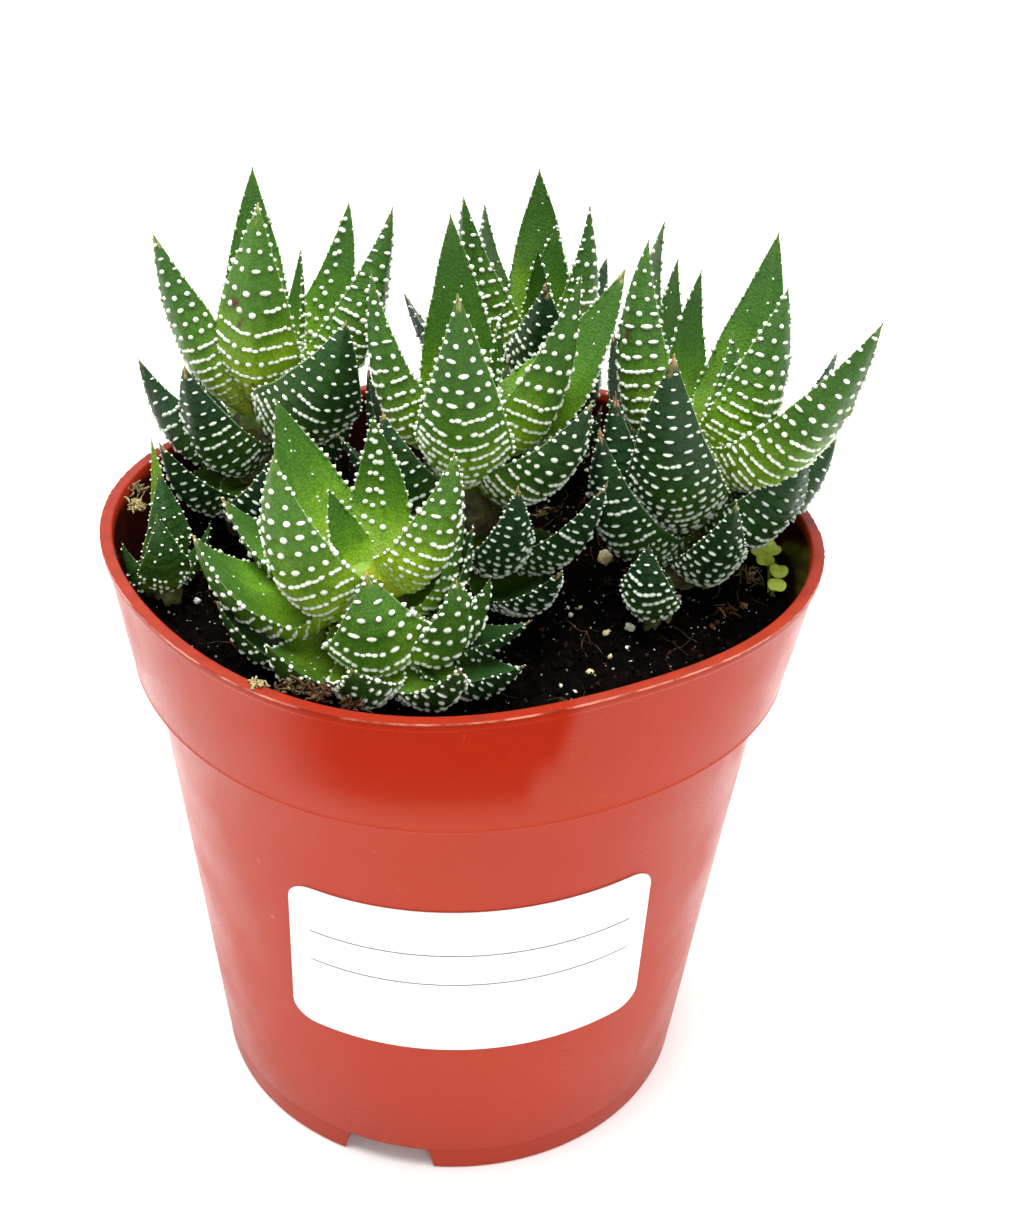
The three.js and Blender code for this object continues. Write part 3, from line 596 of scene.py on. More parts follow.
def stem_skin():
    """Bark that gives way to a green heart at the top of the stem."""
    s = Shader("stem_bark")
    [along] = s.attributes("along")
    bark = s.noise(420, 4, 0.6)
    colour = s.ramp(bark, [(0.3, (0.028, 0.02, 0.009)), (0.5, (0.11, 0.10, 0.03)),
                           (0.7, (0.23, 0.22, 0.08))])
    heart = s.varied(bark, (0.10, 0.20, 0.015), (0.20, 0.33, 0.03))
    return s.finish(Base_Color=s.mix(s.range(along, 0.3, 0.7), colour, heart),
                    Roughness=s.varied(s.noise(900, 2), 0.55, 0.8),
                    Normal=s.bump(bark, 0.0006, 0.8))


def pot_plastic():
    s = Shader("pot_plastic")
    patch, worn, soiled, top = s.attributes("patch", "worn", "soiled", "top")
    colour = s.ramp(s.noise(26, 4, 0.55), [
        (0.3, (0.345, 0.0250, 0.0065)), (0.5, (0.36, 0.0275, 0.0072)),
        (0.72, (0.378, 0.031, 0.0085))])
    # painted dark reflection on the front of the band, with less sheen
    colour = s.mix(patch, colour, (0.325, 0.0150, 0.0022))
    grain = s.varied(s.noise(2400, 2), (0.9, 0.88, 0.88), (1.08, 1.12, 1.12))
    colour = s.mix(0.35, colour, grain, "MULTIPLY")
    # the flat top of the rim is darker, in patches
    darker_top = s.times(top, s.range(s.noise(300, 4, 0.6), 0.3, 0.75, 0.55, 0.95))
    colour = s.mix(darker_top, colour, (0.17, 0.017, 0.008))
    # a pale mould flash and a painted highlight along the lip's outer edge
    edge = s.times(s.range(worn, 0.8, 1.0), s.range(s.noise(150, 4), 0.38, 0.58, 0.0, 0.75))
    colour = s.mix(edge, colour, (0.72, 0.27, 0.18))
    pits = s.times(top, s.range(s.cells(190), 0.035, 0.07, 0.85, 0.0))
    colour = s.mix(pits, colour, (0.03, 0.008, 0.005))
    specks = s.times(s.range(s.cells(130), 0.0, 0.09, 1.0, 0.0),
                     s.range(s.noise(60, 2), 0.5, 0.66))
    colour = s.mix(s.times(specks, 0.35), colour, (0.75, 0.34, 0.26))
    lengthened = s.node("Mapping", Vector=s.place, Scale=(1.0, 1.0, 0.09),
                        Rotation=(0.3, 0.5, 0.2)).outputs[0]
    scratches = s.times(s.range(s.cells(260, lengthened), 0.0, 0.035, 1.0, 0.0),
                        s.range(s.noise(45, 2), 0.52, 0.7))
    colour = s.mix(s.times(scratches, 0.35), colour, (0.72, 0.2, 0.13))
    # painted shade on the inside wall above the soil
    wall_shade = s.range(s.times(soiled, s.varied(s.noise(160, 4), 0.7, 1.3)), 0.1, 0.75)
    colour = s.mix(wall_shade, colour, (0.030, 0.0045, 0.0030))
    smudge = s.varied(s.noise(55, 5, 0.62), 0.25, 0.42)
    fine = s.bump(s.noise(1500, 3), 0.00003, 0.6)
    soft = s.bump(s.noise(60, 1), 0.0002, 0.2, fine)
    return s.finish(Base_Color=colour, Roughness=s.math("ADD", smudge, s.times(specks, 0.3)),
                    Normal=s.bump(scratches, 0.0001, 0.5, soft),
                    Specular_IOR_Level=s.range(patch, 0.0, 1.0, 0.15, 0.02))


def label_paper():
    s = Shader("label_paper")
    fibre = s.noise(900, 4, 0.6)
    wave = s.bump(s.noise(60, 2), 0.0004, 0.15)
    return s.finish(Base_Color=s.varied(fibre, (0.88, 0.88, 0.865), (0.93, 0.93, 0.925)),
                    Roughness=s.varied(fibre, 0.38, 0.5),
                    Normal=s.bump(fibre, 0.00002, 0.6, wave))


def mottled(name, scale, detail, colours, roughness, depth, strength=0.5):
    """A plain material whose colour, roughness and relief follow one noise."""
    s = Shader(name)
    noise = s.noise(scale, detail)
    return s.finish(Base_Color=s.varied(noise, *colours), Roughness=s.varied(noise, *roughness),
                    Normal=s.bump(noise, depth, strength))


def peat(name, dark, light, scale=500):
    s = Shader(name)
    lumps = s.noise(scale, 4, 0.65)
    middle = tuple(blend(d, l, 0.4) for d, l in zip(dark, light))
    return s.finish(Base_Color=s.ramp(lumps, [(0.32, dark), (0.58, middle), (0.75, light)]),
                    Roughness=s.varied(s.noise(scale * 0.7, 2), 0.8, 0.98),
                    Normal=s.bump(lumps, 0.0005, 0.9), Specular_IOR_Level=0.02)


def perlite():
    """White grains, of which a few are yellow."""
    s = Shader("perlite")
    [seed] = s.attributes("seed")
    pores = s.noise(1400, 4, 0.6)
    colour = s.mix(s.range(pores, 0.3, 0.65), (0.42, 0.36, 0.26), (0.86, 0.83, 0.74))
    colour = s.mix(s.range(seed, 0.75, 0.8, 0.0, 0.7), colour, (0.62, 0.50, 0.16))
    return s.finish(Base_Color=colour, Roughness=s.varied(pores, 0.6, 0.9),
                    Normal=s.bump(pores, 0.0003, 0.8))


def dried():
    s = Shader("dried_bits")
    [yellow] = s.attributes("yellow")
    fibre = s.noise(1100, 4, 0.6)
    colour = s.mix(yellow, (0.085, 0.030, 0.012), (0.50, 0.43, 0.19))
    colour = s.mix(s.varied(fibre, 1.0, 0.0), colour, (0.4, 0.35, 0.35), "MULTIPLY")
    return s.finish(Base_Color=colour, Roughness=s.varied(fibre, 0.6, 0.95),
                    Normal=s.bump(fibre, 0.0002, 0.8), Specular_IOR_Level=0.1)


# ---- Shapes that follow the out-of-round pot ----

def out_of_round(angle, z):
    z = np.clip(z, 0, POT_HEIGHT)
    share = np.where(z < BAND_FOOT, SQUEEZE_AT_BAND_FOOT * (z / BAND_FOOT) ** 2,
                     blend(SQUEEZE_AT_BAND_FOOT, 1, (z - BAND_FOOT) / BAND_HEIGHT))
    wave = (OUT_OF_ROUND["cos2"] * np.cos(2 * angle) + OUT_OF_ROUND["sin2"] * np.sin(2 * angle)
            + OUT_OF_ROUND["cos4"] * np.cos(4 * angle) + OUT_OF_ROUND["sin4"] * np.sin(4 * angle))
    return 1 + share * wave


def wall_radius(z):
    return blend(FOOT_RADIUS, WALL_TOP_RADIUS, z / BAND_FOOT)


def wall_inside(z):
    return wall_radius(z) - WALL


def band_inside(z):
    return blend(BAND_FOOT_RADIUS - WALL - 0.3, RIM_RADIUS - LIP, (z - BAND_FOOT) / BAND_HEIGHT)


def rounded(corners, steps=4):
    """A profile from corners, each a point and the radius it is rounded with."""
    points = [np.array(point, float) for point, _ in corners]
    out = [points[0]]
    for before, corner, after, (_, radius) in zip(points, points[1:], points[2:], corners[1:]):
        if radius <= 0:
            out.append(corner)
            continue
        into, away = before - corner, after - corner
        reach = min(radius, np.linalg.norm(into) * 0.45, np.linalg.norm(away) * 0.45)
        start, end = corner + unit(into) * reach, corner + unit(away) * reach
        out.extend(curve(start, corner, end, share) for share in np.linspace(0, 1, steps + 1))
    return np.array([*out, points[-1]])


# ---- Pot ----

POT_SEGMENTS = 432
LIP_EDGE = 1.6                      # height of the lip's outer edge, which stands out a little
BASE_LINE = 4.9                     # height of the moulded line round the base
STEP_HEIGHT = 1.4                   # the inside steps outwards from the wall to the band here
FLASH = 0.07                        # the ragged mould edge along the outside of the lip
SAG = 0.12                          # how far the band wavers
lip_rag = Ripple(5, 0.036, 1, 30)
band_sag = Ripple(6, 1.3, 1, 6)
TOP_DEPTH = 0.3                     # what is less than this under the top is darker and pitted, with a pale mould flash and a painted highlight at its outer edge
INNER_SHADE_DEPTH = 2.6                  # painted shade darkens the inside to just under the top

# A painted dark reflection on the front of the band: azimuths of its edges in degrees.
REFLECTION_LEFT = (-126, -104)
REFLECTION_RIGHT = -71.5
REFLECTION_SLANT = 8


def pot_profile():
    foot_inside = FOOT_RADIUS - FOOT_RING
    return rounded([
        ((0, FLOOR_UNDERSIDE), 0), ((foot_inside - 0.6, FLOOR_UNDERSIDE), 0.5),
        ((foot_inside, 0), 0.4), ((FOOT_RADIUS, 0), 0.5),
        ((wall_radius(BASE_LINE) - 0.4, BASE_LINE - 0.25), 0.1),
        ((wall_radius(BASE_LINE), BASE_LINE + 0.1), 0.15),
        ((wall_radius(30), 30), 0), ((wall_radius(55), 55), 0),
        ((WALL_TOP_RADIUS, BAND_FOOT), 0.3), ((BAND_FOOT_RADIUS - 0.2, BAND_FOOT), 0.15),
        ((BAND_FOOT_RADIUS + 0.12, BAND_FOOT + 0.25), 0.15),
        ((BAND_FOOT_RADIUS + 0.02, BAND_FOOT + 0.75), 0.2),
        ((51.4, 87), 0), ((52.0, 93), 0),
        ((RIM_RADIUS - 0.45, POT_HEIGHT - LIP_EDGE), 0.2),
        ((RIM_RADIUS, POT_HEIGHT - LIP_EDGE + 0.35), 0.3),
        ((RIM_RADIUS, POT_HEIGHT), 0.25), ((RIM_RADIUS - LIP, POT_HEIGHT), 0.35),
        *[((band_inside(z), z), 0) for z in (99, 97.5, 95, 91)],
        ((band_inside(BAND_FOOT + STEP_HEIGHT), BAND_FOOT + STEP_HEIGHT), 0.5),
        ((WALL_TOP_RADIUS - WALL, BAND_FOOT - 1), 0.5), ((wall_inside(40), 40), 0),
        ((wall_inside(FLOOR_TOP), FLOOR_TOP + 0.8), 0.3),
        ((wall_inside(FLOOR_TOP) - 0.8, FLOOR_TOP), 0.3), ((0, FLOOR_TOP), 0),
    ])


def pot_mesh():
    """The profile turned about Z, out of round, with the lip's rag and the band's sag."""
    radius, z = pot_profile().T[:, :, None]
    lip = np.flatnonzero(z > POT_HEIGHT - 0.01)[-1]
    top = z > POT_HEIGHT - TOP_DEPTH
    # the lip's outer edge: a pale mould flash and a painted highlight
    worn = top & (radius > RIM_RADIUS - 0.12)
    # painted shade on the inside, from just under the top downwards
    soiled = smooth_step(POT_HEIGHT - 0.2, POT_HEIGHT - INNER_SHADE_DEPTH, z)
    soiled[:lip + 1] = 0

    angle = round_angles(POT_SEGMENTS)[None, :]
    at_lip = smooth_step(RIM_RADIUS - 0.5, RIM_RADIUS, radius) \
        * smooth_step(POT_HEIGHT - 1.0, POT_HEIGHT - 0.2, z)
    rag = FLASH * np.clip(0.45 + 0.6 * lip_rag(angle), 0, 1.6) * at_lip
    sag = SAG * band_sag(angle) * smooth_step(BAND_FOOT, POT_HEIGHT, z)
    points = around(radius * out_of_round(angle, z) + rag + sag, angle, z + rag * 0.25)

    # a painted dark reflection on the front of the band
    turn, height = np.degrees(np.arctan2(points[..., 1], points[..., 0])), points[..., 2]
    right = REFLECTION_RIGHT - REFLECTION_SLANT * smooth_step(POT_HEIGHT, BAND_FOOT + 3, height) ** 1.6
    patch = smooth_step(*REFLECTION_LEFT, turn) * (1 - smooth_step(right - 3, right + 2, turn)) \
        * smooth_step(BAND_FOOT + 0.5, BAND_FOOT + 10, height) * (1 - soiled)

    every = np.ones_like(height)
    build = Build()
    build.add(points, grid_faces(*height.shape, True),
              worn=worn * every, soiled=soiled * every, top=top * every, patch=patch)
    return cut(build.mesh("pot_shell"), [*notch_cutters(), *drain_cutters()])


def finished(bm):
    mesh = bpy.data.meshes.new("cutter")
    bm.to_mesh(mesh)
    bm.free()
    return mesh


def notch_cutters():
    """A flaring prism through the foot for each notch."""
    half_foot, half_top, height = NOTCH["foot"] / 2, NOTCH["top"] / 2, NOTCH["height"]
    right = [(half_foot + 0.2, -1), (half_top + 0.1, height - 0.5), (half_top - 0.4, height)]
    outline = [(-half_foot - 0.2, -1), *right, *[(-x, z) for x, z in right[:0:-1]]]
    for i in range(NOTCH["count"]):
        turn = math.radians(NOTCH["azimuth"] + i * 360 / NOTCH["count"])
        ahead = np.array([math.cos(turn), math.sin(turn), 0])
        beside = np.array([-math.sin(turn), math.cos(turn), 0])
        rings = [[ahead * reach + beside * x + (0, 0, z) for x, z in outline]
                 for reach in (FOOT_RADIUS - 8, FOOT_RADIUS + 5)]
        build = Build()
        build.add(rings, grid_faces(2, len(outline), True))
        bm = bmesh.new()
        bm.from_mesh(build.mesh("notch"))
        bmesh.ops.holes_fill(bm, edges=bm.edges, sides=0)
        bmesh.ops.recalc_face_normals(bm, faces=bm.faces)
        yield finished(bm)


def drain_cutters():
    """A cylinder through the floor for each drainage hole."""
    radius = DRAIN["radius"] * MM
    for i in range(DRAIN["count"]):
        angle = math.radians(DRAIN["azimuth"] + i * 360 / DRAIN["count"])
        bm = bmesh.new()
        bmesh.ops.create_cone(bm, cap_ends=True, segments=40, radius1=radius, radius2=radius,
                              depth=6 * MM)
        place = Vector(around(DRAIN["circle"], angle, FLOOR_TOP)) * MM
        bmesh.ops.translate(bm, verts=bm.verts, vec=place)
        yield finished(bm)


def cut(mesh, cutters):
    """The mesh with each cutter taken away."""
    body = link("body", mesh)
    tools = [link("tool", cutter) for cutter in cutters]
    for tool in tools:
        modifier = body.modifiers.new("cut", "BOOLEAN")
        modifier.operation, modifier.solver, modifier.object = "DIFFERENCE", "EXACT", tool
    graph = bpy.context.evaluated_depsgraph_get()
    result = bpy.data.meshes.new_from_object(body.evaluated_get(graph))
    for extra in [body, *tools]:
        bpy.data.objects.remove(extra)
    return result


def add_pot():
    add_piece("pot_shell", pot_mesh(), [pot_plastic()], "pot", sharp=38)


# ---- Label ----
# The label is left without words: two thin ruled lines, as on a plain writing label.

LABEL_PROUD = 0.32                  # outside of the label, off the wall
LABEL_EDGE_PROUD = 0.22
LABEL_BACK_PROUD = 0.05
RULED_LINES = {"heights": (52.6, 46.2), "half_length": 24.0, "width": 0.28}


def on_wall(across, z, proud):
    """A point on the wall under the band, at a distance across the label from its middle."""
    azimuth = math.radians(LABEL["azimuth"])
    turn = 0
    for _ in range(4):
        radius = (wall_radius(z) + proud) * out_of_round(azimuth + turn, z)
        turn = np.arcsin(np.clip(across / radius, -1, 1))
    return around(radius, azimuth + turn, z)


def label_half_width(z):
    corner = LABEL["corner"]
    over = np.maximum(0, np.maximum(LABEL["low"] + corner - z, z - LABEL["high"] + corner))
    return LABEL["half_width"] - corner + np.sqrt(np.maximum(corner ** 2 - over ** 2, 0))


def label_rows():
    corner = LABEL["corner"]
    bend = corner * (1 - np.cos(np.linspace(0, math.pi / 2, 9)))
    middle = np.linspace(LABEL["low"] + corner, LABEL["high"] - corner, 16)[1:-1]
    return np.concatenate([LABEL["low"] + bend, middle, (LABEL["high"] - bend)[::-1]])


def add_label():
    columns = np.linspace(-1, 1, 61)[None, :]
    z = label_rows()[:, None] + 0 * columns
    half_width = label_half_width(z)
    across = half_width * columns
    rim = np.minimum(np.minimum(z - LABEL["low"], LABEL["high"] - z), half_width - np.abs(across))
    proud = blend(LABEL_EDGE_PROUD, LABEL_PROUD, smooth_step(0, 0.5, rim))
    faces = grid_faces(*z.shape, False)
    index = np.arange(z.size).reshape(z.shape)
    outline = np.concatenate([index[0], index[1:, -1], index[-1, -2::-1], index[-2:0:-1, 0]])
    after = np.roll(outline, -1)
    edge = np.stack([outline, outline + z.size, after + z.size, after], -1)
    build = Build()
    build.add([on_wall(across, z, proud), on_wall(across, z, LABEL_BACK_PROUD)],
              np.concatenate([faces, faces[:, ::-1] + z.size, edge]))
    add_piece("label_sheet", build, [label_paper()], "label", sharp=40)


def add_ruled_lines():
    """Flat strips that are closed behind, just proud of the label."""
    across = np.linspace(-1, 1, 60)[None, :] * RULED_LINES["half_length"]
    side = np.array([-0.5, -0.5, 0.5, 0.5, -0.5])[:, None] * RULED_LINES["width"]
    proud = LABEL_PROUD + np.array([-0.08, 0.02, 0.02, -0.08, -0.08])[:, None]
    build = Build()
    for height in RULED_LINES["heights"]:
        build.add(on_wall(across, height + side + 0 * across, proud), grid_faces(5, 60, False))
    ink = mottled("ruled_line", 2500, 2, ((0.16, 0.16, 0.165), (0.24, 0.24, 0.245)),
                  (0.4, 0.6), 0.00001)
    add_piece("label_ruled_lines", build, [ink])


# ---- Soil ----

SOIL_SEGMENTS = 300
SOIL_RINGS = 84
SOIL_RIPPLES = [(0.35, Ripple(11, 9)), (0.34, Ripple(12, 2.4)), (0.24, Ripple(13, 1.1))]


def soil_height(x, y):
    swell = SOIL_BUMP * (np.sin(x * 0.31 + 1.3) * np.cos(y * 0.27)
                         + 0.6 * np.sin(x * 0.83 - y * 0.61))
    return SOIL_LEVEL + swell + sum(height * ripple(x, y) for height, ripple in SOIL_RIPPLES)


def soil_edge(angle, z=SOIL_LEVEL):
    return (band_inside(z) - GAP) * out_of_round(angle, z)


def add_soil():
    angles = round_angles(SOIL_SEGMENTS)
    shares = np.sqrt(np.linspace(0.0004, 1, SOIL_RINGS))[::-1][:, None]
    top = around(shares * (soil_edge(angles) - 0.1), angles, 0.0)
    top[..., 2] = soil_height(top[..., 0], top[..., 1])
    bottom, step = FLOOR_TOP + GAP, BAND_FOOT + STEP_HEIGHT
    side = [around(radius * out_of_round(angles, z), angles, z) for radius, z in (
        (0.02, bottom), (wall_inside(FLOOR_TOP) - 1.1, bottom),
        (wall_inside(FLOOR_TOP) - GAP, bottom + 0.8),
        (WALL_TOP_RADIUS - WALL - GAP, BAND_FOOT - 1), (band_inside(step) - GAP, step))]
    build = Build()
    build.add_tubes(np.concatenate([side, top]), [(0, 0, bottom), (0, 0, soil_height(0, 0))])
    add_piece("soil_surface", build,
              [peat("peat", (0.0005, 0.0004, 0.0003), (0.0045, 0.0028, 0.002))], "soil")


# ---- Clutter on the soil ----

# Perlite grains that stand out in the photo: x, y and radius.
PLACED_GRAINS = [(23.1, 8.6, 1.3), (23.1, 10.6, 1.0), (22.4, -11.6, 0.8), (25.7, -11.5, 0.85),
                 (19.1, -23, 0.55), (16.9, -7.7, 0.5), (-40.3, -6.9, 0.6), (29, -16.5, 0.5),
                 (37, -8, 0.35), (33, 1, 0.4)]

# Grains: how many, how deep they sit, their least radius and what chance adds to it with a
# lean to the small, how flat and jagged they are, and their peat's name, colours and scale.
GRAINS = {
    "soil_crumbs": {
        "count": 2300, "sunk": 0.1, "least": 0.25, "added": 1.0, "lean": (1.1, 4),
        "flatness": 0.6, "jag": 0.3,
        "peat": ("peat_crumbs", (0.0006, 0.0005, 0.0004), (0.013, 0.008, 0.005), 900)},
    "mineral_specks": {
        "count": 900, "sunk": -0.1, "least": 0.09, "added": 0.16, "lean": (1.2, 4),
        "flatness": 0.75, "jag": 0.22,
        "peat": ("specks", (0.10, 0.08, 0.055), (0.75, 0.72, 0.64), 300)},
    "bark_flakes": {
        "count": 420, "sunk": -0.1, "least": 0.25, "added": 0.5, "lean": (1.2, 3),
        "flatness": 0.15, "jag": 0.3,
        "peat": ("bark", (0.008, 0.004, 0.003), (0.12, 0.055, 0.028), 260)},
    "perlite_grains": {
        "count": 60, "sunk": 0, "least": 0.25, "added": 0.65, "lean": (1.3, 3),
        "flatness": 0.8, "jag": 0.14, "placed": PLACED_GRAINS},
}

FIBRES = 150
FIBRE_LENGTH = (3, 13)
FIBRE_RADIUS = (0.05, 0.15)
FIBRE_LIFT = (0.05, 1.1)
STRAND_RADIUS = (0.08, 0.24)        # of the dried bits

# Dried bits: x, y, z, how far they spread, how many strands, and from 0 brown to 1 yellow.
DEBRIS = [
    (-26.6, -44.9, 100.3, 1.3, 22, 0.8), (-19, -41.6, 97.0, 2.3, 40, 0.0),
    (-23.2, -40.6, 96.6, 1.8, 26, 0.15), (-14.6, -43.6, 96.2, 1.8, 24, 0.05),
    (-51.4, 9.5, 99.2, 1.6, 30, 0.45), (-50.6, 4.2, 98.6, 1.7, 34, 0.75),
    (45.6, 2.4, 89.6, 2.6, 30, 0.3), (41, -7, 89.4, 2.2, 16, 0.1), (26.4, 4.4, 89.3, 1.2, 10, 0.2),
    (35.5, 15.0, 89.4, 1.4, 12, 0.3), (-43.2, 0.2, 89.3, 0.8, 6, 0.3), (32.4, 24, 90, 1.6, 12, 0.3),
    (13.1, 20.5, 90, 1.8, 14, 0.2), (43.6, -5.5, 89.4, 1.0, 8, 0.2),
]


def lumpy_ball(seed, jag):
    bm = bmesh.new()
    bmesh.ops.create_icosphere(bm, subdivisions=2, radius=1)
    points = np.array([v.co for v in bm.verts])
    faces = np.array([[v.index for v in f.verts] for f in bm.faces])
    bm.free()
    rough = Ripple(seed, 1.6, 3)
    return points * (1 + jag * rough(*points.T))[:, None], faces


def random_turns(rng, count):
    """Random rotation matrices."""
    w, x, y, z = unit(rng.normal(size=(count, 4))).T
    return np.stack([
        1 - 2 * (y * y + z * z), 2 * (x * y - z * w), 2 * (x * z + y * w),
        2 * (x * y + z * w), 1 - 2 * (x * x + z * z), 2 * (y * z - x * w),
        2 * (x * z - y * w), 2 * (y * z + x * w), 1 - 2 * (x * x + y * y),
    ], -1).reshape(-1, 3, 3)


def add_grains(name, rng, places, sizes, flatness, jag, material):
    """A piece with a lumpy grain at each place, from a few forms that are turned and stretched."""
    build = Build()
    forms = [lumpy_ball(100 + k, jag) for k in range(5)]
    turns = random_turns(rng, len(places))
    stretch = rng.uniform(flatness, 1.15, (len(places), 3))
    for k, (points, faces) in enumerate(forms):
        chosen = np.arange(len(places)) % len(forms) == k
        shaped = points[None] * (stretch[chosen] * sizes[chosen, None])[:, None, :]
        placed = np.einsum("nij,npj->npi", turns[chosen], shaped) + places[chosen][:, None, :]
        first = (np.arange(len(placed)) * len(points))[:, None, None]
        seeds = rng.uniform(0, 1, len(placed))
        build.add(placed, triangles=faces + first, seed=np.repeat(seeds, len(points)))
    add_piece(name, build, [material])


def soil_places(rng, count, sunk, within=1.2):
    angle = rng.uniform(0, 2 * math.pi, count)
    radius = np.sqrt(rng.uniform(0, 1, count)) * (soil_edge(angle) - within)
    x, y = radius * np.cos(angle), radius * np.sin(angle)
    return np.stack([x, y, soil_height(x, y) - sunk], -1)


def add_thread(build, path, radius, sides=5, **attributes):
    """A thin closed tube along a path, tapering at its ends."""
    ahead = unit(np.gradient(path, axis=0))
    beside = unit(np.cross(ahead, (0.31, 0.17, 0.93)))
    above = np.cross(ahead, beside)
    angle = round_angles(sides)[None, :, None]
    share = np.linspace(0, 1, len(path))
    thick = radius * (0.35 + 0.65 * np.sin(math.pi * np.clip(share * 0.9 + 0.08, 0, 1)))
    rings = path[:, None] + thick[:, None, None] * (beside[:, None] * np.cos(angle)
                                                    + above[:, None] * np.sin(angle))
    build.add_tubes(rings, path[[0, -1]], **attributes)


def add_fibres(rng):
    build = Build()
    steps = np.linspace(0, 1, 9)
    for start in soil_places(rng, FIBRES, sunk=0, within=2):
        length, turn = rng.uniform(*FIBRE_LENGTH), rng.uniform(0, 2 * math.pi)
        curl = turn + rng.normal(0, 0.9) * steps + 0.4 * np.sin(steps * rng.uniform(3, 9))
        x = start[0] + np.cumsum(np.cos(curl)) * length / len(steps)
        y = start[1] + np.cumsum(np.sin(curl)) * length / len(steps)
        if np.any(np.hypot(x, y) > soil_edge(np.arctan2(y, x)) - 1.0):
            continue
        lift = rng.uniform(*FIBRE_LIFT) * np.sin(math.pi * steps)
        path = np.stack([x, y, soil_height(x, y) + 0.1 + lift], -1)
        add_thread(build, path, rng.uniform(*FIBRE_RADIUS))
    add_piece("root_fibres", build,
              [peat("fibre", (0.012, 0.007, 0.004), (0.15, 0.09, 0.05), 700)])


def add_soil_bits():
    rng = np.random.default_rng(21)
    for name, kind in GRAINS.items():
        places = soil_places(rng, kind["count"], kind["sunk"])
        sizes = kind["least"] + kind["added"] * rng.beta(*kind["lean"], kind["count"])
        for k, (x, y, size) in enumerate(kind.get("placed", ())):
            places[k], sizes[k] = (x, y, soil_height(x, y) + 0.25 * size), size
        material = peat(*kind["peat"]) if "peat" in kind else perlite()
        add_grains(name, rng, places, sizes, kind["flatness"], kind["jag"], material)
    add_fibres(rng)


def add_debris():
    """Dried moss, roots and leaf scraps in small heaps."""
    rng = np.random.default_rng(33)
    build = Build()
    steps = np.linspace(-1, 1, 7)[:, None]
    for x, y, z, spread, strands, yellow in DEBRIS:
        for _ in range(strands):
            middle = np.array([x, y, z]) + rng.normal(0, 0.4, 3) * spread * (1, 1, 0.55)
            aim = unit(rng.normal(0, 1, 3) * (1, 1, 0.6))
            bend = rng.normal(0, 0.35, 3) * (1, 1, 0.5)
            half = rng.uniform(0.3, 0.8) * spread
            path = middle + aim * steps * half * 0.7 + bend * (steps ** 2) * half
            add_thread(build, path, rng.uniform(*STRAND_RADIUS),
                       yellow=np.clip(yellow + rng.normal(0, 0.15), 0, 1))
    add_piece("dried_bits", build, [dried()])


# ---- Leaves ----

